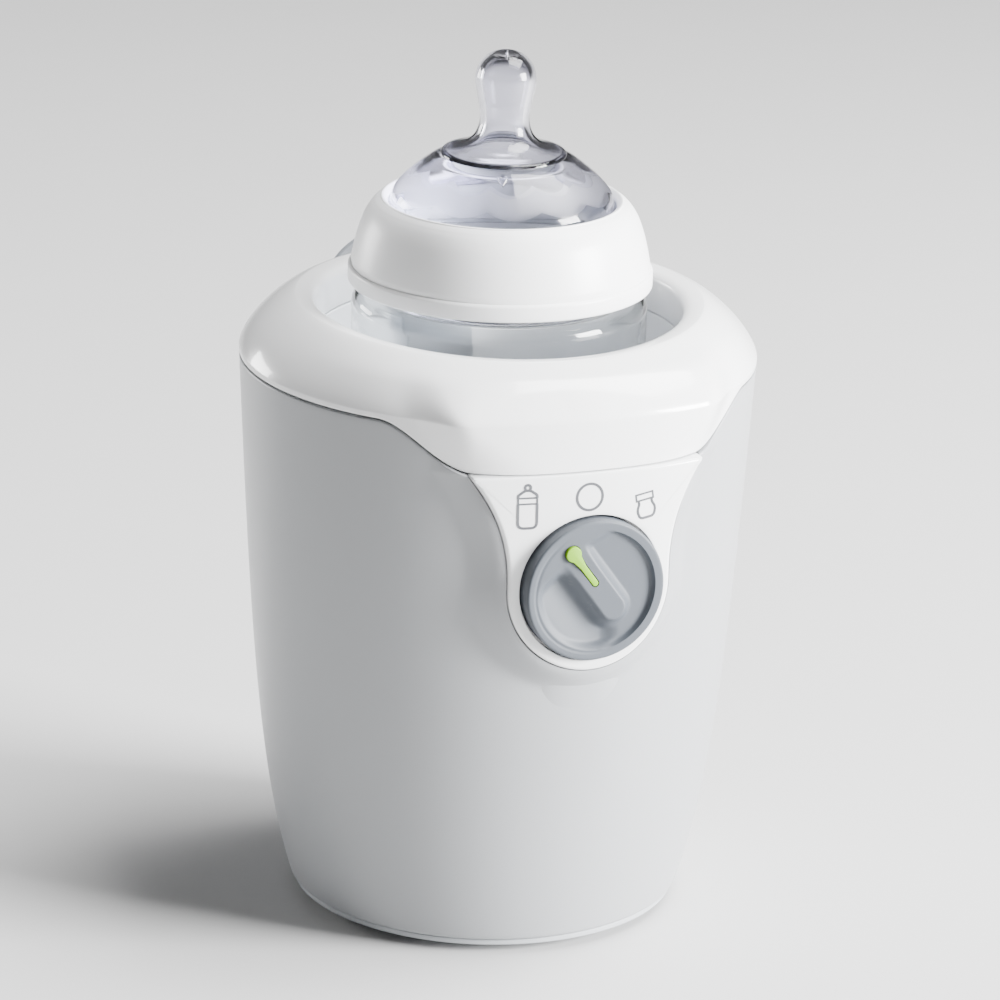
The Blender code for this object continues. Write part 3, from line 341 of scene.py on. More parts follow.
def shader_group(name: str, inputs: Sequence[tuple[str, Socket, object]],
                 outputs: Sequence[tuple[str, Socket]]) -> tuple[NodeTree, bpy.types.Node, bpy.types.Node]:
    """Start a shader node group.

    Args:
        name: the group's name.
        inputs: name, kind and default of each input.
        outputs: name and kind of each output.

    Returns:
        The tree helper, the group's input node and its output node.
    """
    tree = bpy.data.node_groups.new(name, "ShaderNodeTree")
    for label, kind, default in inputs:
        socket = tree.interface.new_socket(label, in_out="INPUT", socket_type=kind.value)
        socket.default_value = default
    for label, kind in outputs:
        tree.interface.new_socket(label, in_out="OUTPUT", socket_type=kind.value)
    return NodeTree(tree), tree.nodes.new("NodeGroupInput"), tree.nodes.new("NodeGroupOutput")


def moulded_skin_group() -> bpy.types.NodeTree:
    """Colour drift, roughness drift and fine texture of an injection-moulded surface."""
    nodes, given, made = shader_group(
        "moulded_skin",
        (("Color", Socket.COLOR, (0.8, 0.8, 0.8, 1.0)), ("Drift", Socket.VALUE, 0.02),
         ("Roughness", Socket.VALUE, 0.3), ("Roughness Drift", Socket.VALUE, 0.05),
         ("Grain Size", Socket.VALUE, 0.4), ("Grain", Socket.VALUE, 0.3)),
        (("Color", Socket.COLOR), ("Roughness", Socket.VALUE), ("Height", Socket.VALUE)))
    place = nodes.add("ShaderNodeTexCoord").outputs["Object"]
    broad = nodes.add("ShaderNodeTexNoise", Vector=place, Scale=22.0, Detail=3.0, Roughness=0.5)
    smear = nodes.add("ShaderNodeTexNoise", Vector=place, Scale=90.0, Detail=4.0, Roughness=0.6)
    per_metre = nodes.math("DIVIDE", 1000.0, given.outputs["Grain Size"])
    fine = nodes.add("ShaderNodeTexNoise", Vector=place, Scale=per_metre, Detail=2.0, Roughness=0.5)
    shade = nodes.math("MULTIPLY", nodes.math("SUBTRACT", broad.outputs[0], 0.5), given.outputs["Drift"])
    tint = nodes.add("ShaderNodeHueSaturation", Color=given.outputs["Color"],
                     Value=nodes.math("ADD", 1.0, shade))
    nodes.feed(made.inputs["Color"], tint.outputs[0])
    wander = nodes.math("MULTIPLY", nodes.math("SUBTRACT", smear.outputs[0], 0.5),
                        given.outputs["Roughness Drift"])
    nodes.feed(made.inputs["Roughness"], nodes.math("ADD", given.outputs["Roughness"], wander))
    nodes.feed(made.inputs["Height"], nodes.math("MULTIPLY", fine.outputs[0], given.outputs["Grain"]))
    return nodes.tree


def edge_wear_group() -> bpy.types.NodeTree:
    """A mask that is high along handled edges, broken up by noise."""
    nodes, given, made = shader_group(
        "edge_wear", (("Amount", Socket.VALUE, 0.3),), (("Mask", Socket.VALUE),))
    edge = nodes.ramp(nodes.add("ShaderNodeNewGeometry").outputs["Pointiness"], 0.52, 0.6)
    place = nodes.add("ShaderNodeTexCoord").outputs["Object"]
    patch = nodes.add("ShaderNodeTexNoise", Vector=place, Scale=260.0, Detail=3.0)
    worn = nodes.math("MULTIPLY", edge, nodes.ramp(patch.outputs[0], 0.42, 0.62))
    nodes.feed(made.inputs["Mask"], nodes.math("MULTIPLY", worn, given.outputs["Amount"]))
    return nodes.tree


def machined_group() -> bpy.types.NodeTree:
    """Fine turned or brushed lines for metal: a roughness and a height."""
    nodes, given, made = shader_group(
        "machined", (("Roughness", Socket.VALUE, 0.3), ("Depth", Socket.VALUE, 0.3)),
        (("Roughness", Socket.VALUE), ("Height", Socket.VALUE)))
    place = nodes.add("ShaderNodeTexCoord").outputs["Object"]
    stretched = nodes.add("ShaderNodeMapping", Vector=place, Scale=(300.0, 300.0, 6000.0))
    lines = nodes.add("ShaderNodeTexNoise", Vector=stretched.outputs[0], Scale=1.0, Detail=3.0)
    spots = nodes.add("ShaderNodeTexNoise", Vector=place, Scale=180.0, Detail=4.0)
    varied = nodes.math("MULTIPLY", nodes.math("SUBTRACT", spots.outputs[0], 0.5), 0.3)
    nodes.feed(made.inputs["Roughness"], nodes.math("ADD", given.outputs["Roughness"], varied))
    nodes.feed(made.inputs["Height"], nodes.math("MULTIPLY", lines.outputs[0], given.outputs["Depth"]))
    return nodes.tree


# ------------------------------------------------------------------ finishes

class Groups:
    """The shader groups, each built once."""

    built: dict[str, bpy.types.NodeTree] = {}

    @classmethod
    def get(cls, maker: Callable[[], bpy.types.NodeTree]) -> bpy.types.NodeTree:
        """Return the group that a maker builds, building it the first time."""
        if maker.__name__ not in cls.built:
            cls.built[maker.__name__] = maker()
        return cls.built[maker.__name__]


def new_material(name: str) -> tuple[bpy.types.Material, NodeTree, bpy.types.Node]:
    """Start a material and return it with its tree helper and its Principled shader."""
    material = bpy.data.materials.new(name)
    material.use_nodes = True
    nodes = NodeTree(material.node_tree)
    return material, nodes, material.node_tree.nodes["Principled BSDF"]


@dataclass(frozen=True)
class Plastic:
    """Moulded plastic or rubber, with drift, grain and a little wear on its edges."""

    name: str
    color: Color
    roughness: float
    drift: float = 0.03
    roughness_drift: float = 0.06
    grain_size: float = 0.5
    grain: float = 0.25
    coat: float = 0.0
    coat_roughness: float = 0.08
    wear: float = 0.15
    worn_color: Color | None = None
    subsurface: float = 0.0
    ior: float = 1.48

    def build(self) -> bpy.types.Material:
        """Make the material."""
        material, nodes, shader = new_material(self.name)
        skin = nodes.add("ShaderNodeGroup", {"node_tree": Groups.get(moulded_skin_group)},
                         Color=(*self.color, 1.0), Drift=self.drift, Roughness=self.roughness,
                         Roughness_Drift=self.roughness_drift, Grain_Size=self.grain_size, Grain=self.grain)
        wear = nodes.add("ShaderNodeGroup", {"node_tree": Groups.get(edge_wear_group)}, Amount=self.wear)
        pale = self.worn_color or tuple(min(1.0, c * 0.9 + 0.08) for c in self.color)
        mix = nodes.add("ShaderNodeMix", {"data_type": "RGBA"})
        nodes.feed(mix.inputs[0], wear.outputs["Mask"])
        nodes.feed(mix.inputs[6], skin.outputs["Color"])
        nodes.feed(mix.inputs[7], (*pale, 1.0))
        bump = nodes.add("ShaderNodeBump", Strength=0.12, Distance=0.00006, Height=skin.outputs["Height"])
        nodes.feed(shader.inputs["Base Color"], mix.outputs[2])
        nodes.feed(shader.inputs["Roughness"], skin.outputs["Roughness"])
        nodes.feed(shader.inputs["Normal"], bump.outputs[0])
        shader.inputs["IOR"].default_value = self.ior
        shader.inputs["Coat Weight"].default_value = self.coat
        shader.inputs["Coat Roughness"].default_value = self.coat_roughness
        if self.subsurface > 0.0:
            shader.inputs["Subsurface Weight"].default_value = self.subsurface
            shader.inputs["Subsurface Radius"].default_value = (1.0, 0.95, 0.9)
            shader.inputs["Subsurface Scale"].default_value = 0.003
        return material


@dataclass(frozen=True)
class Metal:
    """Plated, rolled or cast metal."""

    name: str
    color: Color
    roughness: float
    depth: float = 0.3

    def build(self) -> bpy.types.Material:
        """Make the material."""
        material, nodes, shader = new_material(self.name)
        work = nodes.add("ShaderNodeGroup", {"node_tree": Groups.get(machined_group)},
                         Roughness=self.roughness, Depth=self.depth)
        skin = nodes.add("ShaderNodeGroup", {"node_tree": Groups.get(moulded_skin_group)},
                         Color=(*self.color, 1.0), Drift=0.12)
        bump = nodes.add("ShaderNodeBump", Strength=0.15, Distance=0.00005, Height=work.outputs["Height"])
        nodes.feed(shader.inputs["Base Color"], skin.outputs["Color"])
        nodes.feed(shader.inputs["Roughness"], work.outputs["Roughness"])
        nodes.feed(shader.inputs["Normal"], bump.outputs[0])
        shader.inputs["Metallic"].default_value = 1.0
        return material


@dataclass(frozen=True)
class Clear:
    """See-through plastic or silicone with a real wall."""

    name: str
    color: Color
    roughness: float
    transmission: float = 1.0
    ior: float = 1.45
    grain: float = 0.2
    haze: float = 0.0
    haze_low: float = 0.0
    haze_high: float = 0.0
    waves: float = 6.0
    wave_height: float = 0.0016
    passes: float = 0.9

    def build(self) -> bpy.types.Material:
        """Make the material; between two heights it may be frosted in a wavy band."""
        material, nodes, shader = new_material(self.name)
        skin = nodes.add("ShaderNodeGroup", {"node_tree": Groups.get(moulded_skin_group)},
                         Color=(*self.color, 1.0), Drift=0.02, Roughness=self.roughness,
                         Roughness_Drift=0.04, Grain_Size=3.0, Grain=self.grain)
        rough = skin.outputs["Roughness"]
        if self.haze > 0.0:
            place = nodes.add("ShaderNodeTexCoord").outputs["Object"]
            split = nodes.add("ShaderNodeSeparateXYZ", Vector=place)
            around = nodes.math("ARCTAN2", split.outputs[0], split.outputs[1])
            swing = nodes.math("SINE", nodes.math("MULTIPLY", around, self.waves))
            wave = nodes.math("MULTIPLY", nodes.math("ABSOLUTE", swing), self.wave_height)
            edge = nodes.math("ADD", split.outputs[2], wave)
            band = nodes.math("MULTIPLY", nodes.ramp(edge, self.haze_low, self.haze_low + 0.0006),
                              nodes.ramp(edge, self.haze_high, self.haze_high + 0.0006, 1.0, 0.0))
            rough = nodes.math("ADD", rough, nodes.math("MULTIPLY", band, self.haze))
        bump = nodes.add("ShaderNodeBump", Strength=0.1, Distance=0.0001, Height=skin.outputs["Height"])
        nodes.feed(shader.inputs["Base Color"], skin.outputs["Color"])
        nodes.feed(shader.inputs["Roughness"], rough)
        nodes.feed(shader.inputs["Normal"], bump.outputs[0])
        shader.inputs["Transmission Weight"].default_value = self.transmission
        shader.inputs["IOR"].default_value = self.ior
        shadow = nodes.add("ShaderNodeLightPath").outputs["Is Shadow Ray"]
        through = nodes.add("ShaderNodeBsdfTransparent", Color=(*self.color, 1.0))
        mix = nodes.add("ShaderNodeMixShader")
        nodes.feed(mix.inputs[0], nodes.math("MULTIPLY", shadow, self.passes))
        nodes.feed(mix.inputs[1], shader.outputs[0])
        nodes.feed(mix.inputs[2], through.outputs[0])
        nodes.feed(nodes.tree.nodes["Material Output"].inputs["Surface"], mix.outputs[0])
        return material


class Finish(Enum):
    """Every finish on the object."""

    HOUSING = Plastic("pearl_satin", (0.33, 0.34, 0.353), 0.34, coat=0.25, coat_roughness=0.3, grain=0.3)
    COVER = Plastic("gloss_white", (0.86, 0.865, 0.87), 0.22, coat=0.5, coat_roughness=0.05, grain=0.12)
    PANEL = Plastic("gloss_white_panel", (0.82, 0.83, 0.835), 0.24, coat=0.4, coat_roughness=0.06,
                    grain=0.12)
    PRINT = Plastic("grey_print", (0.07, 0.073, 0.082), 0.5, wear=0.0)
    KNOB = Plastic("knob_grey", (0.07, 0.08, 0.095), 0.55, grain=0.35)
    POINTER = Plastic("lime_inlay", (0.17, 0.37, 0.0), 0.6, wear=0.0)
    COLLAR = Plastic("satin_white", (0.86, 0.865, 0.87), 0.38, coat=0.15, coat_roughness=0.2,
                     subsurface=0.05)
    WELL = Plastic("well_plastic", (0.86, 0.87, 0.88), 0.35, coat=0.2)
    BASE = Plastic("base_plastic", (0.42, 0.44, 0.46), 0.5, grain_size=0.8, grain=0.7)
    RUBBER = Plastic("foot_rubber", (0.045, 0.045, 0.05), 0.75, grain_size=0.6, grain=0.9, wear=0.3)
    SEAL = Plastic("red_silicone", (0.5, 0.07, 0.05), 0.5, grain=0.4)
    BLACK = Plastic("black_plastic", (0.025, 0.025, 0.03), 0.42, grain=0.6)
    INSERT = Plastic("cream_insert", (0.68, 0.66, 0.6), 0.45)
    CERAMIC = Plastic("ceramic_case", (0.62, 0.57, 0.5), 0.7, drift=0.12, grain_size=0.25, grain=1.0)
    BROWN_WIRE = Plastic("brown_insulation", (0.17, 0.065, 0.025), 0.4)
    BLUE_WIRE = Plastic("blue_insulation", (0.02, 0.09, 0.42), 0.4)
    GREEN_WIRE = Plastic("green_insulation", (0.08, 0.33, 0.05), 0.4)
    STEEL = Metal("zinc_steel", (0.62, 0.62, 0.64), 0.3)
    ALUMINIUM = Metal("cast_aluminium", (0.72, 0.73, 0.75), 0.38, 0.6)
    BOTTLE = Clear("clear_bottle", (0.96, 0.975, 0.985), 0.05, ior=1.46)
    TEAT = Clear("clear_silicone", (0.87, 0.87, 0.945), 0.06, ior=1.4, haze=0.3, haze_low=0.1722,
                 haze_high=0.1765)
    BASKET = Clear("smoky_basket", (0.42, 0.44, 0.47), 0.3, 0.45, 1.45, 0.5)
    FLOOR = Plastic("studio_floor", (0.62, 0.62, 0.62), 0.6, wear=0.0, grain=0.0)


class Paint:
    """Builds each finish once and puts it on pieces."""

    def __init__(self) -> None:
        """Start with nothing built."""
        self.built: dict[Finish, bpy.types.Material] = {}

    def material(self, finish: Finish) -> bpy.types.Material:
        """Return the material of a finish."""
        if finish not in self.built:
            self.built[finish] = finish.value.build()
        return self.built[finish]

    def coat(self, obj: bpy.types.Object, finish: Finish) -> bpy.types.Object:
        """Give an object one finish all over."""
        obj.data.materials.clear()
        obj.data.materials.append(self.material(finish))
        return obj


class Shelf:
    """Finishes pieces, parents them to their bodies and hides the solids they stand for."""

    def __init__(self, paint: Paint) -> None:
        """Use the given paint."""
        self.paint = paint

    def put(self, obj: bpy.types.Object, finish: Finish, body: str, slot: str,
            replaces: Sequence[str] = ()) -> bpy.types.Object:
        """Finish a piece and let it ride on its body.

        Args:
            obj: the piece, in place.
            finish: its finish.
            body: the body that it moves with.
            slot: not used.
            replaces: the plain solids that it stands for.

        Returns:
            The piece.
        """
        self.paint.coat(obj, finish)
        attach(obj, body)
        if replaces:
            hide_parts(*replaces)
        log.info("%s rides on %s: %d faces", obj.name, body, len(obj.data.polygons))
        return obj


# ------------------------------------------------------------------ casings

@dataclass
class CasingForm:
    """The outer form shared by the housing, the cover and the control panel, in millimetres.

    Angles are in degrees from the front.
    """

    foot_radius: float = 46.34
    fill: float = 8.36
    fill_rise: float = 29.4
    flare: float = 0.0483
    wall: float = 2.2
    bottom: float = 1.7
    seam_z: float = 131.8
    seam_gap: float = 0.5
    face_y: float = 62.0
    face_tilt: float = 0.026
    face_curve: float = 110.0
    knob_z: float = 94.0
    panel_top: float = 121.4
    panel_top_half: float = 28.5
    panel_half: float = 19.8
    sweep_z: float = 96.0
    sweep: float = 2.2
    flank: float = 7.5
    step: float = 0.8
    swoop_start: float = 27.0
    swoop_end: float = 48.0
    shoulder_z: float = 133.3
    crest_radius: float = 48.0
    crest_z: float = 146.0
    shoulder_power: float = 1.35
    mouth_radius: float = 43.5
    lip_radius: float = 43.2
    lip_bottom: float = 136.2
    apron_flank: float = 11.0

    def radius(self, z: float) -> float:
        """Outer radius of the round body at a height."""
        return self.foot_radius + self.fill * (1.0 - math.exp(-z / self.fill_rise)) + self.flare * z

    def face_depth(self, x: float, z: float) -> float:
        """How far forward the front face is."""
        return self.face_y + self.face_tilt * (self.knob_z - z) - x * x / (2.0 * self.face_curve)

    def half_width(self, z: float) -> float:
        """Half-width of the control panel above its round lower end."""
        share = max(0.0, (z - self.sweep_z) / (self.panel_top - self.sweep_z))
        return self.panel_half + (self.panel_top_half - self.panel_half) * share ** self.sweep

    def outside_panel(self, x: float, z: float) -> float:
        """Rough distance outside the panel's outline, and 0 inside it."""
        if z < self.knob_z:
            return max(0.0, math.hypot(x, z - self.knob_z) - self.panel_half)
        return max(0.0, abs(x) - self.half_width(min(z, self.panel_top)))

    def seam(self, degrees: float) -> float:
        """Height of the seam under the cover."""
        rise = smoothstep(self.swoop_start, self.swoop_end, abs(degrees))
        return self.panel_top + (self.seam_z - self.panel_top) * rise

    def housing_point(self, degrees: float, z: float, inset: float = 0.0) -> Vector:
        """A point of the housing's outer surface, set back by `inset`."""
        radius = self.radius(z)
        angle = math.radians(degrees)
        x, forward = radius * math.sin(angle), radius * math.cos(angle)
        if forward > 0.0:
            corner = 1.0 - 0.5 * smoothstep(self.panel_top - 12.0, self.panel_top, z)
            share = (1.0 - smoothstep(0.0, self.flank, self.outside_panel(x, z))) * corner
            proud = max(0.0, self.face_depth(x, z) - self.step - forward)
            forward += proud * share
        return Vector((x, -forward, z)) - Vector((math.sin(angle), -math.cos(angle), 0.0)) * inset

    def cover_point(self, degrees: float, radius: float, z: float) -> Vector:
        """A point of the cover's outer surface, pushed out where the front apron is."""
        angle = math.radians(degrees)
        x, forward = radius * math.sin(angle), radius * math.cos(angle)
        if forward > 0.0 and radius > self.crest_radius:
            wide = self.radius(self.shoulder_z)
            proud = max(0.0, self.face_depth(wide * math.sin(angle), z) - wide * math.cos(angle))
            inward = (z - self.seam(degrees)) + (self.swoop_start - abs(degrees)) * 0.6
            share = smoothstep(-self.apron_flank * 0.5, self.apron_flank, inward)
            fade = 1.0 - smoothstep(self.shoulder_z, self.crest_z, z)
            sides = 1.0 - smoothstep(self.swoop_start, self.swoop_end, abs(degrees))
            forward += proud * share * fade * sides
        return Vector((x, -forward, z))

    def shoulder(self, count: int) -> list[Point]:
        """The cover's shoulder from its widest place up to the crest."""
        wide, power = self.radius(self.shoulder_z), 2.0 / self.shoulder_power
        turns = [math.radians(a) for a in spread(0.0, 90.0, count)]
        return [(self.crest_radius + (wide - self.crest_radius) * max(math.cos(t), 0.0) ** power,
                 self.shoulder_z + (self.crest_z - self.shoulder_z) * math.sin(t) ** power) for t in turns]

    def columns(self) -> list[float]:
        """Angles of the shells' columns, close together at the front."""
        front = spread(-52.0, 52.0, 173)
        back = spread(52.0, 308.0, 130)[1:-1]
        return front + [a - 360.0 if a > 180.0 else a for a in back]

    def panel_outline(self, grow: float = 0.0, bottom: int = 90, side: int = 36) -> list[Point]:
        """Outline of the panel, anticlockwise from its left side round the bottom and over the top.

        Args:
            grow: how far outside the panel's edge.
            bottom: points round the lower end.
            side: points on each swept side.

        Returns:
            Points (x, z), with the two top corners slightly rounded.
        """
        top, corner = self.panel_top + grow, self.panel_top_half + grow
        low = arc((0.0, self.knob_z), self.panel_half + grow, 180.0, 360.0, bottom)
        right = [(self.half_width(z) + grow, z) for z in spread(self.knob_z, top - 1.8, side + 1)[1:]]
        edge = [(x, top) for x in spread(corner - 2.0, 2.0 - corner, 60)]
        left = [(-x, z) for x, z in reversed(right)]
        return rounded([*low, *right, (corner, top, 0.9), *edge, (-corner, top, 0.9), *left], 6)


@dataclass
class Casings:
    """The housing shell, the top cover and the control panel with its printed marks."""

    shelf: Shelf
    form: CasingForm = field(default_factory=CasingForm)
    edge: float = 0.35
    rim_round: float = 0.8
    mouth_dip: float = 1.8
    thickness: float = 4.2
    recess: float = 17.3
    recess_floor: float = 58.6
    bushing_hole: float = 4.8

    def build(self) -> None:
        """Make all the casings."""
        self.housing()
        self.cover()
        self.panel()

    def housing(self) -> None:
        """The flared shell with its raised boss and the window for the panel."""
        form, edge = self.form, self.edge
        loops: list[Loop] = []
        columns = form.columns()
        foot_rows, bulge_low, bulge_high = 28, form.bottom + 62.0, 118.0
        low = [form.bottom + (bulge_low - form.bottom) * (i / foot_rows) ** 1.25
               for i in range(1, foot_rows)]
        boss = spread(bulge_low, bulge_high, 74)
        for z in [form.bottom + edge, *low, *boss]:
            loops.append([form.housing_point(a, z) for a in columns])
        for share in spread(0.0, 1.0, 12)[1:]:
            tops = [form.seam(a) - form.seam_gap / 2 - edge for a in columns]
            loops.append([form.housing_point(a, bulge_high + (top - bulge_high) * share)
                          for a, top in zip(columns, tops)])
        for turn in spread(0.0, 90.0, 5)[1:]:
            back, up = edge * (1.0 - math.cos(math.radians(turn))), edge * math.sin(math.radians(turn))
            loops.append([form.housing_point(a, form.seam(a) - form.seam_gap / 2 - edge + up, back)
                          for a in columns])
        for z_share in (1.0, 0.8, 0.6, 0.4, 0.2, 0.05, 0.0):
            tops = [form.seam(a) - form.seam_gap / 2 for a in columns]
            loops.append([form.housing_point(a, form.bottom + (top - form.bottom) * z_share, form.wall)
                          for a, top in zip(columns, tops)])
        loops.append([form.housing_point(a, form.bottom, edge) for a in columns])
        shell = Joiner.skin("housing_shell", loops, ring=True)
        window = prism(form.panel_outline(0.3, 60, 24), 45.0, 70.0)
        wall_y = form.radius(12.5)
        tilt = math.radians(13.0)
        hole = Joiner.turned("tool", [(0.0, 6.0), (6.1, 6.0), (6.1, -9.0), (0.0, -9.0)], 48,
                             place=lambda x, y, z: Vector((x,
                                                           wall_y + z * math.cos(tilt) + y * math.sin(tilt),
                                                           12.5 - z * math.sin(tilt) + y * math.cos(tilt))))
        shell = carved(shell, [window, hole])
        self.shelf.put(shell, Finish.HOUSING, "warmer", "housing", ["outer_housing"])

    def cover(self) -> None:
        """The glossy shoulder ring with the front apron and the rounded mouth."""
        form, edge = self.form, self.edge
        columns = form.columns()
        start = [form.seam(a) + form.seam_gap / 2 for a in columns]
        loops: list[Loop] = []
        for turn in spread(0.0, 90.0, 5):
            back = edge * (1.0 - math.sin(math.radians(turn)))
            up = edge * (1.0 - math.cos(math.radians(turn)))
            loops.append([form.cover_point(a, form.radius(z + up), z + up) - self.outward(a) * back
                          for a, z in zip(columns, start)])
        for share in spread(0.0, 1.0, 16)[1:-1]:
            loops.append([form.cover_point(a, form.radius(z), z)
                          for a, z in ((a, s + edge + (form.shoulder_z - s - edge) * share)
                                       for a, s in zip(columns, start))])
        for radius, z in form.shoulder(34):
            dip = self.mouth_dip * smoothstep(form.crest_z - 6.0, form.crest_z, z)
            low = [Vector((0.0, 0.0, self.round_point(a, 0.0, 0.0, dip).z)) for a in columns]
            loops.append([form.cover_point(a, radius, z) + drop for a, drop in zip(columns, low)])
        mouth = rounded([(form.crest_radius, form.crest_z),
                         (form.mouth_radius - 0.3, form.crest_z - 0.5, 2.6),
                         (form.lip_radius, form.lip_bottom, 0.4),
                         (form.lip_radius + 2.0, form.lip_bottom, 0.4),
                         (form.lip_radius + 2.0, form.crest_z - 4.6, 2.0),
                         (form.crest_radius, form.crest_z - 2.6)], 8)
        for radius, z in mouth[1:]:
            dip = self.mouth_dip * smoothstep(form.lip_bottom, form.crest_z - 4.0, z)
            loops.append([self.round_point(a, radius, z, dip) for a in columns])
        for radius, z in form.shoulder(12)[::-1]:
            scale = (radius - form.wall) / radius
            loops.append([self.scaled(form.cover_point(a, radius, z), scale,
                                      -form.wall * (z - form.shoulder_z) / 14.0)
                          for a in columns])
        loops.append([self.scaled(form.cover_point(a, form.radius(z), z), 1.0 - form.wall / form.radius(z),
                                  0.0)
                      for a, z in zip(columns, start)])
        shell = Joiner.skin("cover_shell", loops, ring=True)
        self.shelf.put(shell, Finish.COVER, "warmer", "cover", ["top_cover"])

    @staticmethod
    def outward(degrees: float) -> Vector:
        """Unit vector away from the axis."""
        return Vector((math.sin(math.radians(degrees)), -math.cos(math.radians(degrees)), 0.0))

    @staticmethod
    def round_point(degrees: float, radius: float, z: float, dip: float = 0.0) -> Vector:
        """A point on a ring that may dip towards the front."""
        x, y = radius * math.sin(math.radians(degrees)), -radius * math.cos(math.radians(degrees))
        return Vector((x, y, z - dip * max(0.0, math.cos(math.radians(degrees))) ** 1.5))

    @staticmethod
    def scaled(point: Vector, scale: float, lift: float) -> Vector:
        """Draw a point towards the axis and lift it."""
        return Vector((point.x * scale, point.y * scale, point.z + lift))

    def on_face(self, points: Iterable[Point], sink: float = 0.0) -> Loop:
        """Lay points (x, z) on the front face, or `sink` below it."""
        return [Vector((x, sink - self.form.face_depth(x, z), z)) for x, z in points]

    def panel(self) -> None:
        """The tongue-shaped panel: its skin runs from the rim over the face into the knob's recess."""
        form, rim = self.form, self.rim_round
        outline = form.panel_outline()
        angles = [math.atan2(z - form.knob_z, x) for x, z in outline]

        def circle(radius: float) -> list[Point]:
            return [(radius * math.cos(a), form.knob_z + radius * math.sin(a)) for a in angles]

        def flat(radius: float, depth: float) -> Loop:
            return [Vector((x, -depth, z)) for x, z in circle(radius)]

        loops = [self.on_face(outline, self.thickness), self.on_face(outline, rim)]
        for turn in spread(0.0, 90.0, 7)[1:]:
            inward, rise = 1.0 - math.cos(math.radians(turn)), math.sin(math.radians(turn))
            loops.append(self.on_face(self.inset(outline, rim * inward), rim * (1.0 - rise)))
        edge, mouth = self.inset(outline, rim), circle(self.recess + 0.3)
        for share in spread(0.0, 1.0, 18)[1:-1]:
            loops.append(self.on_face([(x + (u - x) * share, z + (w - z) * share)
                                       for (x, z), (u, w) in zip(edge, mouth)]))
        loops += [self.on_face(circle(self.recess + grow), sink) for grow, sink in ((0.3, 0.0), (0.1, 0.06),
                                                                                    (0.0, 0.3))]
        loops += [flat(self.recess, self.recess_floor), flat(self.bushing_hole, self.recess_floor),
                  self.on_face(circle(self.bushing_hole), self.thickness)]
        loops += [self.on_face([(x * share, form.knob_z + (z - form.knob_z) * share) for x, z in outline],
                               self.thickness) for share in (0.4, 0.7)]
        panel = Joiner.skin("panel_insert", loops, ring=True)
        self.shelf.put(panel, Finish.PANEL, "warmer", "panel", ["control_panel"])

    @staticmethod
    def inset(outline: Sequence[Point], amount: float) -> list[Point]:
        """Draw an anticlockwise outline inwards by an amount."""
        moved = []
        for i, (x, z) in enumerate(outline):
            ahead, behind = outline[(i + 1) % len(outline)], outline[i - 1]
            run = Vector((ahead[0] - behind[0], ahead[1] - behind[1])).normalized()
            moved.append((x - run.y * amount, z + run.x * amount))
        return moved


# ------------------------------------------------------------------ geometry nodes

class GeometryTree:
    """A geometry node tree with named inputs, run once on an object."""

    def __init__(self, name: str, inputs: Sequence[tuple[str, Socket]]) -> None:
        """Start a tree.

        Args:
            name: the tree's name.
            inputs: name and kind of each input after the geometry.
        """
        tree = bpy.data.node_groups.new(name, "GeometryNodeTree")
        tree.interface.new_socket("Geometry", in_out="INPUT", socket_type=Socket.GEOMETRY.value)
        self.keys = {label: tree.interface.new_socket(label, in_out="INPUT",
                                                      socket_type=kind.value).identifier
                     for label, kind in inputs}
        tree.interface.new_socket("Geometry", in_out="OUTPUT", socket_type=Socket.GEOMETRY.value)
        self.nodes = NodeTree(tree)
        self.given = tree.nodes.new("NodeGroupInput")
        self.made = tree.nodes.new("NodeGroupOutput")

    def value(self, name: str) -> bpy.types.NodeSocket:
        """The output of a named input."""
        return self.given.outputs[name]

    def close(self, geometry: bpy.types.NodeSocket) -> None:
        """End the tree in Realize Instances and Set Material."""
        real = self.nodes.add("GeometryNodeRealizeInstances", Geometry=geometry)
        painted = self.nodes.add("GeometryNodeSetMaterial", Geometry=real.outputs[0],
                                 Material=self.value("Material"))
        self.nodes.feed(self.made.inputs[0], painted.outputs[0])

    def run(self, name: str, carrier: bpy.types.ID, values: dict[str, object], sharp: float = 35.0,
            ) -> bpy.types.Object:
        """Run the tree on a carrier and keep the plain mesh that it makes.

        Args:
            name: the piece's name.
            carrier: the mesh or curve that the tree works on.
            values: a value for each named input.
            sharp: edges sharper than this many degrees stay hard.

        Returns:
            The new object, at the origin.
        """
        obj = bpy.data.objects.new(name, carrier)
        bpy.context.scene.collection.objects.link(obj)
        modifier = obj.modifiers.new("nodes", "NODES")
        modifier.node_group = self.nodes.tree
        for label, value in values.items():
            modifier[self.keys[label]] = value
        result = evaluated_copy(obj)
        result.data.shade_smooth()
        result.data.set_sharp_from_angle(angle=math.radians(sharp))
        return result


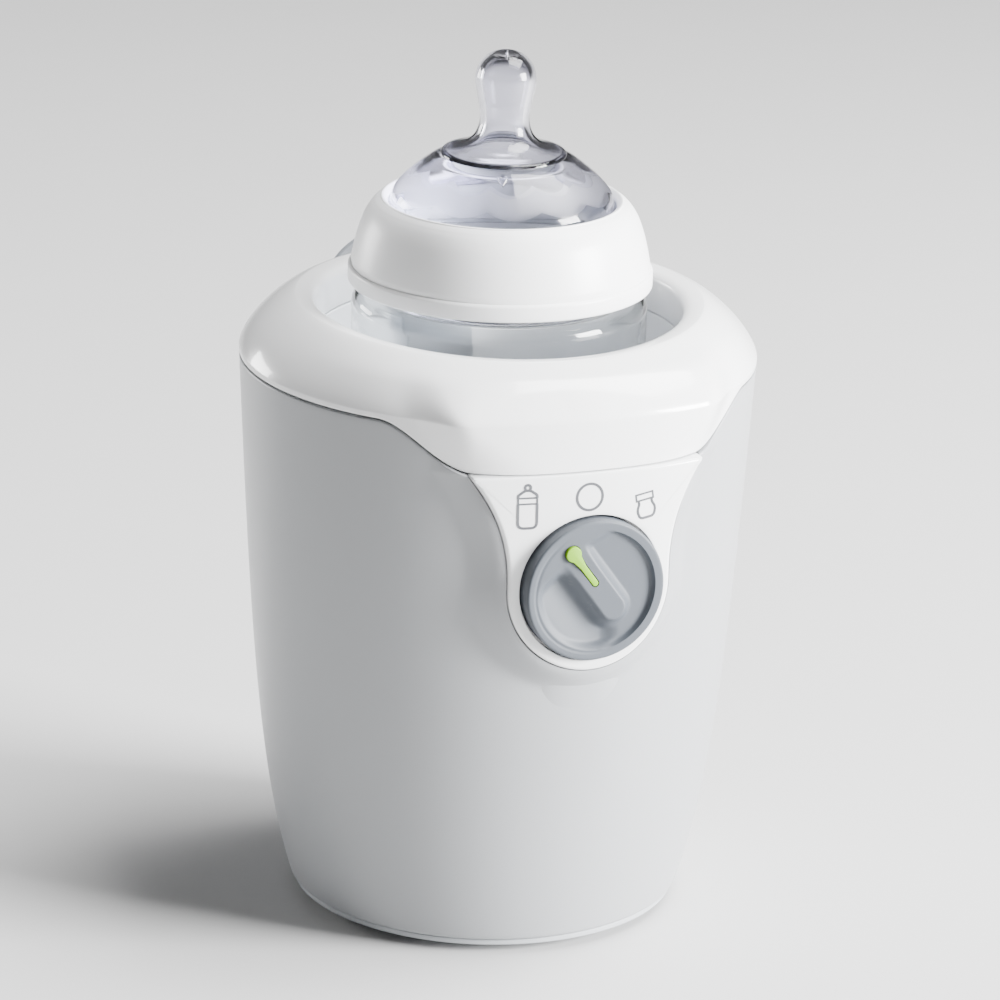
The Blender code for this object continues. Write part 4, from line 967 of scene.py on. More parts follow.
def screw_tree() -> GeometryTree:
    """Pan-head screws with a cross recess, one at each point; upright, the head is on top."""
    tree = GeometryTree("pan_head_screws", (("Head Radius", Socket.VALUE), ("Head Height", Socket.VALUE),
                                            ("Shank Radius", Socket.VALUE), ("Length", Socket.VALUE),
                                            ("Turn", Socket.VECTOR), ("Material", Socket.MATERIAL)))
    nodes, radius, height = tree.nodes, tree.value("Head Radius"), tree.value("Head Height")

    def raised(mesh: bpy.types.Node, rise: object) -> bpy.types.Node:
        """Lift a mesh by a height."""
        up = nodes.add("ShaderNodeCombineXYZ", Z=rise)
        return nodes.add("GeometryNodeTransform", Geometry=mesh.outputs["Mesh"], Translation=up.outputs[0])

    head = nodes.add("GeometryNodeMeshCone", Vertices=28, Radius_Top=nodes.math("MULTIPLY", radius, 0.82),
                     Radius_Bottom=radius, Depth=height)
    shank = nodes.add("GeometryNodeMeshCylinder", Vertices=16, Radius=tree.value("Shank Radius"),
                      Depth=tree.value("Length"))
    shank = raised(shank, nodes.math("MULTIPLY", tree.value("Length"), -0.5))
    cut = nodes.add("GeometryNodeMeshBoolean", {"operation": "DIFFERENCE", "solver": "EXACT"})
    nodes.feed(cut.inputs["Mesh 1"], head.outputs["Mesh"])
    arm, web = nodes.math("MULTIPLY", radius, 1.1), nodes.math("MULTIPLY", radius, 0.24)
    for across, along in ((arm, web), (web, arm)):
        size = nodes.add("ShaderNodeCombineXYZ", X=across, Y=along, Z=height)
        bar = raised(nodes.add("GeometryNodeMeshCube", Size=size.outputs[0]),
                     nodes.math("MULTIPLY", height, 0.9))
        nodes.feed(cut.inputs["Mesh 2"], bar.outputs[0])
    screw = nodes.add("GeometryNodeJoinGeometry")
    nodes.feed(screw.inputs[0], cut.outputs[0])
    nodes.feed(screw.inputs[0], shank.outputs[0])
    turned = nodes.add("GeometryNodeTransform", Geometry=screw.outputs[0], Rotation=tree.value("Turn"))
    spots = nodes.add("GeometryNodeMeshToPoints", Mesh=tree.given.outputs[0])
    placed = nodes.add("GeometryNodeInstanceOnPoints", Points=spots.outputs[0], Instance=turned.outputs[0])
    tree.close(placed.outputs[0])
    return tree


def ribbon_tree() -> GeometryTree:
    """Flat lines along curves that lie in a wall facing the front."""
    tree = GeometryTree("printed_lines", (("Line Width", Socket.VALUE), ("Line Thickness", Socket.VALUE),
                                          ("Material", Socket.MATERIAL)))
    nodes = tree.nodes
    level = nodes.add("GeometryNodeSetCurveNormal", {"mode": "FREE"}, Curve=tree.given.outputs[0],
                      Normal=(0.0, -1.0, 0.0))
    section = nodes.add("GeometryNodeCurvePrimitiveQuadrilateral", {"mode": "RECTANGLE"},
                        Width=tree.value("Line Thickness"), Height=tree.value("Line Width"))
    swept = nodes.add("GeometryNodeCurveToMesh", Curve=level.outputs[0], Profile_Curve=section.outputs[0],
                      Fill_Caps=True)
    tree.close(swept.outputs[0])
    return tree


def thread_tree() -> GeometryTree:
    """A raised screw thread of round section, wound as a spiral."""
    tree = GeometryTree("neck_thread", (("Turns", Socket.VALUE), ("Thread Radius", Socket.VALUE),
                                        ("Rise", Socket.VALUE), ("Bottom", Socket.VALUE),
                                        ("Ridge", Socket.VALUE), ("Material", Socket.MATERIAL)))
    nodes = tree.nodes
    spiral = nodes.add("GeometryNodeCurveSpiral", Resolution=90, Rotations=tree.value("Turns"),
                       Start_Radius=tree.value("Thread Radius"), End_Radius=tree.value("Thread Radius"),
                       Height=tree.value("Rise"))
    up = nodes.add("ShaderNodeCombineXYZ", Z=tree.value("Bottom"))
    lifted = nodes.add("GeometryNodeTransform", Geometry=spiral.outputs[0], Translation=up.outputs[0])
    along = nodes.add("GeometryNodeSplineParameter").outputs[0]
    ends = nodes.math("MULTIPLY", nodes.ramp(along, 0.0, 0.06, 0.25),
                      nodes.ramp(along, 0.94, 1.0, 1.0, 0.25))
    tapered = nodes.add("GeometryNodeSetCurveRadius", Curve=lifted.outputs[0], Radius=ends)
    section = nodes.add("GeometryNodeCurvePrimitiveCircle", Resolution=10, Radius=tree.value("Ridge"))
    swept = nodes.add("GeometryNodeCurveToMesh", Curve=tapered.outputs[0], Profile_Curve=section.outputs[0],
                      Fill_Caps=True)
    nodes.feed(swept.inputs["Scale"], ends)
    tree.close(swept.outputs[0])
    return tree


def tick_tree() -> GeometryTree:
    """A ladder of raised marks that lie along the bottle's wall, centred on the front."""
    tree = GeometryTree("volume_marks", (("Count", Socket.COUNT), ("Spacing", Socket.VALUE),
                                         ("Bottom", Socket.VALUE), ("Wall Radius", Socket.VALUE),
                                         ("Sweep", Socket.VALUE), ("Ridge", Socket.VALUE),
                                         ("Material", Socket.MATERIAL)))
    nodes, sweep = tree.nodes, tree.value("Sweep")
    step = nodes.add("ShaderNodeCombineXYZ", Z=tree.value("Spacing"))
    start = nodes.add("ShaderNodeCombineXYZ", Z=tree.value("Bottom"))
    ladder = nodes.add("GeometryNodeMeshLine", Count=tree.value("Count"), Start_Location=start.outputs[0],
                       Offset=step.outputs[0])
    begin = nodes.math("SUBTRACT", -0.5 * math.pi, nodes.math("MULTIPLY", sweep, 0.5))
    mark = nodes.add("GeometryNodeCurveArc", {"mode": "RADIUS"}, Resolution=24,
                     Radius=tree.value("Wall Radius"),
                     Start_Angle=begin, Sweep_Angle=sweep)
    section = nodes.add("GeometryNodeCurvePrimitiveCircle", Resolution=8, Radius=tree.value("Ridge"))
    bar = nodes.add("GeometryNodeCurveToMesh", Curve=mark.outputs[0], Profile_Curve=section.outputs[0],
                    Fill_Caps=True)
    spots = nodes.add("GeometryNodeMeshToPoints", Mesh=ladder.outputs[0])
    placed = nodes.add("GeometryNodeInstanceOnPoints", Points=spots.outputs[0], Instance=bar.outputs[0])
    tree.close(placed.outputs[0])
    return tree


def points_mesh(name: str, points: Iterable[Vector]) -> bpy.types.Mesh:
    """A mesh of loose points, given in millimetres."""
    mesh = bpy.data.meshes.new(name)
    mesh.from_pydata([p * MM for p in points], [], [])
    return mesh


def drawn_lines(name: str, strokes: Sequence[tuple[Loop, bool]]) -> bpy.types.Curve:
    """A curve of straight-sided strokes.

    Args:
        name: the curve's name.
        strokes: each stroke's points in millimetres, and whether it closes.

    Returns:
        The curve.
    """
    curve = bpy.data.curves.new(name, "CURVE")
    curve.dimensions = "3D"
    for points, closed in strokes:
        spline = curve.splines.new("POLY")
        spline.points.add(len(points) - 1)
        for spot, point in zip(spline.points, points):
            spot.co = (*(point * MM), 1.0)
        spline.use_cyclic_u = closed
    return curve


# ------------------------------------------------------------------ printed marks

@dataclass
class PanelMarks:
    """The three symbols round the knob: a bottle, an open ring for off, and a jar."""

    shelf: Shelf
    casings: Casings
    line: float = 0.62
    print_rise: float = 0.04
    bottle_at: Point = (-15.9, 20.2)
    ring_at: Point = (-1.2, 21.8)
    jar_at: Point = (13.0, 18.3)
    ring_radius: float = 3.1

    def build(self) -> None:
        """Draw the symbols as one printed piece."""
        strokes = [*self.bottle(), *self.ring(), *self.jar()]
        laid = [(self.casings.on_face(points, -self.print_rise), closed) for points, closed in strokes]
        tree = ribbon_tree()
        piece = tree.run("panel_symbols", drawn_lines("panel_symbols", laid),
                         {"Line Width": self.line * MM, "Line Thickness": 0.06 * MM,
                          "Material": self.shelf.paint.material(Finish.PRINT)})
        self.shelf.put(piece, Finish.PRINT, "warmer", "panel")

    def placed(self, at: Point, points: Iterable[Point], lean: float = 0.0) -> list[Point]:
        """Move a symbol's points from about its own centre to its place about the knob."""
        turn = Matrix.Rotation(math.radians(lean), 2)
        moved = [turn @ Vector(p) for p in points]
        return [(at[0] + p.x, self.casings.form.knob_z + at[1] + p.y) for p in moved]

    def ring(self) -> list[tuple[list[Point], bool]]:
        """An open ring."""
        return [(self.placed(self.ring_at, arc((0.0, 0.0), self.ring_radius, 0.0, 352.0, 45)), True)]

    def bottle(self) -> list[tuple[list[Point], bool]]:
        """A feeding bottle: body, collar, teat and tip."""
        body = rounded([(-2.2, 0.9), (-2.2, -4.8, 1.4), (2.2, -4.8, 1.4), (2.2, 0.9)], 5)
        collar = [(-2.2, 0.9), (2.2, 0.9), (2.2, 2.3), (-2.2, 2.3)]
        teat = rounded([(-2.2, 2.3), (-2.2, 3.0, 0.5), (-0.6, 4.1, 0.5), (0.6, 4.1, 0.5), (2.2, 3.0, 0.5),
                        (2.2, 2.3)], 3)
        tip = arc((0.0, 4.75), 0.65, -40.0, 220.0, 14)
        return [(self.placed(self.bottle_at, stroke, 0.0), closed)
                for stroke, closed in ((body, False), (collar, True), (teat, False), (tip, False))]

    def jar(self) -> list[tuple[list[Point], bool]]:
        """A jar of food: lid and bellied body."""
        lid = [(-2.3, 1.4), (2.0, 1.4), (2.0, 2.9), (-2.3, 2.9)]
        body = rounded([(-1.8, 1.4), (-1.7, 0.6, 0.5), (-2.4, -0.9, 1.0), (-1.9, -2.9, 0.9),
                        (1.7, -2.9, 0.9),
                        (2.3, -0.9, 1.0), (1.5, 0.6, 0.5), (1.6, 1.4)], 4)
        return [(self.placed(self.jar_at, stroke, 8.0), closed)
                for stroke, closed in ((lid, True), (body, False))]


# ------------------------------------------------------------------ knob

@dataclass
class Knob:
    """The selector knob: a rim, two scooped finger pockets, a bar between them and a lime pointer."""

    shelf: Shelf
    center_z: float = 94.0
    radius: float = 16.75
    back: float = 58.9
    face: float = 64.3
    rim: float = 2.1
    pocket: float = 2.9
    bar_top: float = 65.1
    bar_half: float = 2.95
    bar_offset: float = 0.8
    bar_foot: float = 5.8
    angle: float = 36.5
    segments: int = 220
    pointer_head: float = 11.3
    pointer_foot: float = 2.2

    def build(self) -> None:
        """Make the knob and its pointer."""
        self.body()
        self.pointer()

    def relief(self, across: float, along: float) -> float:
        """How far forward the knob's face is, in the bar's own axes."""
        radius = math.hypot(across, along)
        side = across - self.bar_offset
        reach = math.hypot(side, along + self.bar_foot) if along < -self.bar_foot else abs(side)
        gap = max(0.0, reach - self.bar_half)
        left = smoothstep(-1.0, 1.0, -side / self.bar_half - 0.25 * max(0.0, -along - self.bar_foot))
        inner = self.radius - self.rim
        scoop = 0.85 * smoothstep(0.0, 3.3, gap) * (1.0 - 0.8 * smoothstep(2.8, 13.0, gap))
        scoop *= 1.0 - smoothstep(7.0, 10.6, along)
        scoop *= 1.0 - smoothstep(inner - 2.2, inner, radius)
        pocket = 0.42 * smoothstep(0.0, 2.0, gap) * (1.0 - smoothstep(inner - 0.75, inner, radius))
        pocket *= 1.0 - smoothstep(9.6, 12.2, along + 0.18 * across)
        depth = self.pocket * (pocket + (scoop - pocket) * left)
        bar = (self.bar_top - self.face) * (1.0 - smoothstep(-0.4, 0.8, gap if gap
                                                             else reach - self.bar_half))
        bar *= 1.0 - smoothstep(3.0, 11.5, along)
        groove = 0.18 * math.exp(-((radius - inner - 0.1) / 0.28) ** 2) * left
        return self.face - depth + bar - groove

    def placed(self, across: float, along: float, depth: float) -> Vector:
        """Turn a point from the bar's axes to its place on the panel."""
        turn = math.radians(self.angle)
        return Vector((across * math.cos(turn) - along * math.sin(turn), -depth,
                       self.center_z + across * math.sin(turn) + along * math.cos(turn)))

    def body(self) -> None:
        """The knob's skin, from the middle of its face round the rim to its hollow back."""
        angles = [TAU * i / self.segments for i in range(self.segments)]

        def loop(radius: float, depth: Callable[[float, float], float]) -> Loop:
            return [self.placed(radius * math.cos(a), radius * math.sin(a),
                                depth(radius * math.cos(a), radius * math.sin(a))) for a in angles]

        fillet, skirt = 0.55, self.radius - 1.4
        flat_edge = self.radius - fillet
        loops = [loop(0.0, lambda x, z: self.relief(0.0, 0.0))]
        loops += [loop(r, self.relief) for r in spread(0.0, flat_edge, 62)[1:]]
        for turn in spread(0.0, 90.0, 6)[1:]:
            out, down = fillet * math.sin(math.radians(turn)), fillet * (1.0 - math.cos(math.radians(turn)))
            loops.append(loop(flat_edge + out, lambda x, z, d=down: self.face - d))
        web = self.face - self.pocket - 0.9
        for radius, depth in ((self.radius, self.back), (skirt, self.back), (skirt, web), (0.0, web)):
            loops.append(loop(radius, lambda x, z, d=depth: d))
        knob = Joiner.skin("knob_body", loops)
        knob = carved(knob, [self.bar_prism(self.spoon(0.2), self.bar_top - 1.2, self.bar_top + 2.0)])
        self.shelf.put(knob, Finish.KNOB, "knob", "knob", ["knob"])

    def spoon(self, grow: float = 0.0) -> list[Point]:
        """Outline of the pointer: a round head near the rim and a narrow stem."""
        head = arc((self.bar_offset, self.pointer_head), 1.85 + grow, -50.0, 230.0, 30)
        stem = 0.75 + grow
        waist_right = [(self.bar_offset + stem, self.pointer_head - 4.0)]
        foot = arc((self.bar_offset, self.pointer_foot), stem, 360.0, 180.0, 12)
        return [*head, *[(2 * self.bar_offset - x, z) for x, z in waist_right], *foot[::-1], *waist_right]

    def bar_prism(self, outline: Sequence[Point], near: float, far: float) -> bpy.types.Object:
        """A closed bar through the knob with an outline in the bar's axes."""
        turned = [self.placed(x, z, 0.0) for x, z in outline]
        return prism([(p.x, p.z) for p in turned], near, far)

    def pointer(self) -> None:
        """The lime inlay, with a rounded top edge."""
        inlay = self.bar_prism(self.spoon(), self.bar_top - 1.1, self.bar_top + 0.06)
        inlay.name = inlay.data.name = "pointer_inlay"
        bevel = inlay.modifiers.new("round", "BEVEL")
        bevel.width, bevel.segments, bevel.limit_method = 0.22 * MM, 3, "ANGLE"
        bevel.angle_limit = math.radians(50.0)
        inlay = evaluated_copy(inlay)
        inlay.data.shade_smooth()
        inlay.data.set_sharp_from_angle(angle=math.radians(50.0))
        self.shelf.put(inlay, Finish.POINTER, "knob", "pointer", ["knob_pointer"])


# ------------------------------------------------------------------ well, basket and base

@dataclass
class WaterWell:
    """The moulded well and the heating plate in its floor."""

    shelf: Shelf
    floor_z: float = 22.3
    wall: float = 1.9
    bottom_radius: float = 42.0
    lip_radius: float = 43.2
    flange_radius: float = 55.4
    flange_z: float = 135.9
    hole_radius: float = 29.8
    plate_radius: float = 29.3
    plate_rim: float = 36.4

    def build(self) -> None:
        """Make the well and the plate."""
        under, wall = self.floor_z - 2.0, self.wall
        well = rounded([
            (self.flange_radius, self.flange_z, 0.5), (self.flange_radius, self.flange_z - 2.0, 0.5),
            (self.lip_radius + wall + 1.0, self.flange_z - 2.0, 0.8),
            (self.lip_radius + wall, self.flange_z - 3.6),
            (self.bottom_radius + wall, under + 3.0, 2.0), (self.bottom_radius + wall - 3.0, under, 2.0),
            (self.hole_radius, under, 0.3), (self.hole_radius, self.floor_z, 0.4),
            (self.bottom_radius - 2.6, self.floor_z, 2.4), (self.bottom_radius, self.floor_z + 2.6, 2.4),
            (self.lip_radius, self.flange_z, 0.4)], 5)
        piece = Joiner.turned("well_tub", well, 160)
        self.shelf.put(piece, Finish.WELL, "warmer", "well", ["water_tank"])
        top = self.floor_z - 0.4
        seat = self.floor_z - 2.0 - 0.8 - 0.6
        plate = [(0.0, top), *[(r, top - 0.08 * (i % 2)) for i, r in enumerate(spread(3.0, 27.0, 25))],
                 *rounded([(self.plate_radius, top, 0.5), (self.plate_radius, seat),
                           (self.plate_rim, seat, 0.3),
                           (self.plate_rim, seat - 2.0, 0.3), (0.0, seat - 2.0)], 3)]
        piece = Joiner.turned("hot_plate", plate, 128, 60.0)
        self.shelf.put(piece, Finish.ALUMINIUM, "warmer", "aluminium", ["heating_plate"])


@dataclass
class LiftBasket:
    """The smoky basket under the bottle, with its strap over the rim and its half-round grip."""

    shelf: Shelf
    form: CasingForm
    floor_z: float = 24.2
    floor: float = 2.0
    inner: float = 36.4
    wall: float = 1.8
    ring_top: float = 42.0
    strap_half: float = 9.0
    strap_y: float = 38.9
    strap_thickness: float = 1.8
    hook_z: float = 147.1
    tab_y: float = 51.4
    tab_thickness: float = 2.2
    tab_half: float = 24.5
    tab_z: float = 135.7
    tab_height: float = 15.3
    cover_gap: float = 1.0

    def build(self) -> None:
        """Join the cup, the strap and the grip into one clear piece."""
        basket = carved(self.cup(), self.floor_holes(), sharp=35.0)
        basket = carved(basket, [self.strap(), self.grip()], "UNION", 35.0)
        self.shelf.put(basket, Finish.BASKET, "basket", "basket", ["lift_basket"])

    def cup(self) -> bpy.types.Object:
        """The shallow cup that the bottle stands in."""
        outer, top = self.inner + self.wall, self.ring_top
        low, floor_top = self.floor_z, self.floor_z + self.floor
        profile = rounded([
            (self.inner, top, 0.5), (outer + 0.8, top, 0.5), (outer + 0.8, top - 2.0, 0.5),
            (outer, top - 3.0, 0.5),
            (outer, low + 1.5, 1.4), (outer - 1.5, low, 1.4), (8.0, low, 0.4), (8.0, floor_top, 0.4),
            (self.inner - 1.0, floor_top, 1.0), (self.inner, floor_top + 1.0, 1.0)], 4)
        return Joiner.turned("bottle_basket", profile, 144)

    def floor_holes(self) -> list[bpy.types.Object]:
        """Cutters for the ring of water holes."""
        tools = []
        for degrees in range(0, 360, 60):
            x, y = 24.0 * math.cos(math.radians(degrees)), 24.0 * math.sin(math.radians(degrees))
            tools.append(Joiner.turned("tool", [(0.0, self.floor_z - 2.0), (5.0, self.floor_z - 2.0),
                                                (5.0, self.floor_z + 4.0), (0.0, self.floor_z + 4.0)], 40,
                                       place=lambda u, v, z, x=x, y=y: Vector((x + u, y + v, z))))
        return tools

    def strap(self) -> bpy.types.Object:
        """The strip up the inside of the well, bent over the mouth's rim."""
        mid = self.strap_y + self.strap_thickness / 2
        top = self.hook_z + self.strap_thickness / 2
        run = rounded([(mid, self.floor_z + 4.2), (mid, top, 3.0), (self.tab_y + 1.0, top)], 10)
        half, thick = self.strap_half, self.strap_thickness / 2
        section = rounded([(-half, -thick, 0.5), (half, -thick, 0.5), (half, thick, 0.5),
                           (-half, thick, 0.5)], 3)
        loops: list[Loop] = []
        for i, (y, z) in enumerate(run):
            ahead, behind = run[min(i + 1, len(run) - 1)], run[max(i - 1, 0)]
            along = Vector((ahead[0] - behind[0], ahead[1] - behind[1])).normalized()
            loops.append([Vector((u, y + along.y * w, z - along.x * w)) for u, w in section])
        for loop in (loops[0], loops[-1]):
            middle = sum(loop, Vector()) / len(loop)
            loops.insert(0 if loop is loops[0] else len(loops), [middle] * len(loop))
        return Joiner.skin("tool", loops)

    def grip(self) -> bpy.types.Object:
        """The half-round grip, cut below to clear the cover's shoulder."""
        edge = 0.6
        loops: list[Loop] = []
        for depth, inset in ((0.0, edge), (edge * 0.3, edge * 0.3), (edge, 0.0),
                             (self.tab_thickness - edge, 0.0),
                             (self.tab_thickness - edge * 0.3, edge * 0.3), (self.tab_thickness, edge)):
            loops.append([Vector(((self.tab_half - inset) * math.cos(a), self.tab_y + depth,
                                  self.tab_z + (self.tab_height - inset) * math.sin(a)))
                          for a in (TAU * i / 96 for i in range(96))])
        loops.insert(0, [Vector((0.0, self.tab_y, self.tab_z))] * 96)
        loops.append([Vector((0.0, self.tab_y + self.tab_thickness, self.tab_z))] * 96)
        plate = Joiner.skin("tool", loops)
        rise, wide = self.cover_gap, self.form.radius(self.form.shoulder_z)
        dome = [(r + rise, z + rise) for r, z in self.form.shoulder(16)[::-1]]
        low = self.form.shoulder_z - 24.0
        shoulder = Joiner.turned("tool",
                                 [(0.0, self.form.crest_z + rise), *dome, (wide + rise, low), (0.0, low)],
                                 128)
        return carved(plate, [shoulder])


@dataclass
class Base:
    """The base plate with its vents, the rubber feet, the screws and the cord gland."""

    shelf: Shelf
    form: CasingForm
    thickness: float = 3.2
    step: float = 1.4
    foot_ring: float = 36.0
    leg_ring: float = 39.6
    foot_radius: float = 4.5
    gland_z: float = 12.5
    gland_tilt: float = 13.0

    def build(self) -> None:
        """Make everything that is seen from below and behind."""
        self.plate()
        self.feet()
        self.gland()
        self.screws()

    @staticmethod
    def ring_spots(radius: float, start: float, step: float, count: int, z: float) -> list[Vector]:
        """Points on a ring; angles are in degrees from +X."""
        return [Vector((radius * math.cos(math.radians(start + step * i)),
                        radius * math.sin(math.radians(start + step * i)), z)) for i in range(count)]

    def plate(self) -> None:
        """The base plate: rounded step, vents, foot recesses and screw counterbores."""
        outer = self.form.radius(self.form.bottom) - 0.8
        inner = self.form.radius(self.form.bottom) - self.form.wall - 0.7
        profile = [(0.0, 0.0), (24.0, 0.0), (24.3, 0.35), (25.0, 0.35), (25.3, 0.0),
                   *rounded([(outer, 0.0, 0.5), (outer, self.step, 0.2), (inner, self.step),
                             (inner, self.thickness, 0.4),
                             (0.0, self.thickness)], 4)]
        plate = Joiner.turned("base_floor", profile, 144)
        tools = []
        for spot in self.ring_spots(self.foot_ring, 0.0, 90.0, 4, 0.0):
            tools.append(self.drill(spot, self.foot_radius + 0.3, -2.0, 1.0))
        for spot in self.ring_spots(self.leg_ring, 45.0, 90.0, 4, 0.0):
            tools += [self.drill(spot, 3.2, -2.0, 2.0), self.drill(spot, 1.8, 1.0, 6.0)]
        for i in range(6):
            x = (i - 2.5) * 5.0
            slot = rounded([(x - 1.0, -16.0, 1.0), (x + 1.0, -16.0, 1.0), (x + 1.0, -4.0, 1.0),
                            (x - 1.0, -4.0, 1.0)], 6)
            tools.append(Joiner.skin("tool", [[Vector((x, -10.0, -2.0))] * len(slot),
                                              *[[Vector((u, v, z)) for u, v in slot] for z in (-2.0, 6.0)],
                                              [Vector((x, -10.0, 6.0))] * len(slot)]))
        plate = carved(plate, tools)
        self.shelf.put(plate, Finish.BASE, "warmer", "base", ["base_plate"])

    @staticmethod
    def drill(spot: Vector, radius: float, low: float, high: float) -> bpy.types.Object:
        """An upright cutter."""
        return Joiner.turned("tool", [(0.0, low), (radius, low), (radius, high), (0.0, high)], 36,
                             place=lambda x, y, z: Vector((spot.x + x, spot.y + y, z)))

    def feet(self) -> None:
        """Four rubber feet with a rounded rim and a dished middle."""
        for number, spot in enumerate(self.ring_spots(self.foot_ring, -90.0, 90.0, 4, 0.0), 1):
            profile = [(0.0, 0.7),
                       *rounded([(self.foot_radius, 0.7, 0.2), (self.foot_radius * 0.86, -2.0, 0.7)], 4),
                       (2.6, -2.0), (2.1, -1.6), (0.0, -1.5)]
            foot = Joiner.turned("rubber_foot_%d" % number, profile, 48,
                                 place=lambda x, y, z: Vector((spot.x + x, spot.y + y, z)))
            self.shelf.put(foot, Finish.RUBBER, "warmer", "rubber", ["foot_%d" % number])

    def gland(self) -> None:
        """The gland that the supply cord goes through, with grip rings on its nose."""
        wall, tilt = self.form.radius(self.gland_z), math.radians(self.gland_tilt)
        inside = -self.form.wall - 1.5
        profile = rounded([(4.2, 3.6, 0.3), (5.4, 3.6, 0.5), (6.0, 3.0), (5.7, 2.8), (6.6, 2.5),
                           (7.2, 1.9, 0.3),
                           (7.5, 0.9, 0.2), (5.4, 0.7), (5.4, inside), (6.9, inside), (6.9, inside - 1.0),
                           (4.2, inside - 1.0)], 3)
        gland = Joiner.turned("cord_grommet", profile, 64, 30.0,
                              lambda x, y, z: Vector((x, wall + z * math.cos(tilt) + y * math.sin(tilt),
                                                      self.gland_z - z * math.sin(tilt) + y
                                                      * math.cos(tilt))))
        self.shelf.put(gland, Finish.BLACK, "warmer", "black_plastic", ["cord_gland"])

    def screws(self) -> None:
        """Every screw, one piece for each set, from where the frame holds them."""
        tree = screw_tree()
        for family, count in (("base_screw", 4), ("cover_screw", 3), ("plate_screw", 3), ("clamp_screw", 2),
                              ("cord_clamp_screw", 2)):
            names = ["%s_%d" % (family, number) for number in range(1, count + 1)]
            boxes = [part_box(name) for name in names]
            length = boxes[0][1][2] - boxes[0][0][2]
            head_down = family != "cord_clamp_screw"
            height = 0.0015
            level = boxes[0][0][2] + height / 2 if head_down else boxes[0][1][2] - height / 2
            spots = [Vector(((low[0] + high[0]) / 2, (low[1] + high[1]) / 2, level)) / MM
                     for low, high in boxes]
            piece = tree.run(family + "s", points_mesh(family, spots),
                             {"Head Radius": 0.0029, "Head Height": height, "Shank Radius": 0.0015,
                              "Length": length - height / 2,
                              "Turn": (math.pi if head_down else 0.0, 0.0, 0.0),
                              "Material": self.shelf.paint.material(Finish.STEEL)})
            self.shelf.put(piece, Finish.STEEL, "warmer", "steel", names)


# ------------------------------------------------------------------ feeding bottle

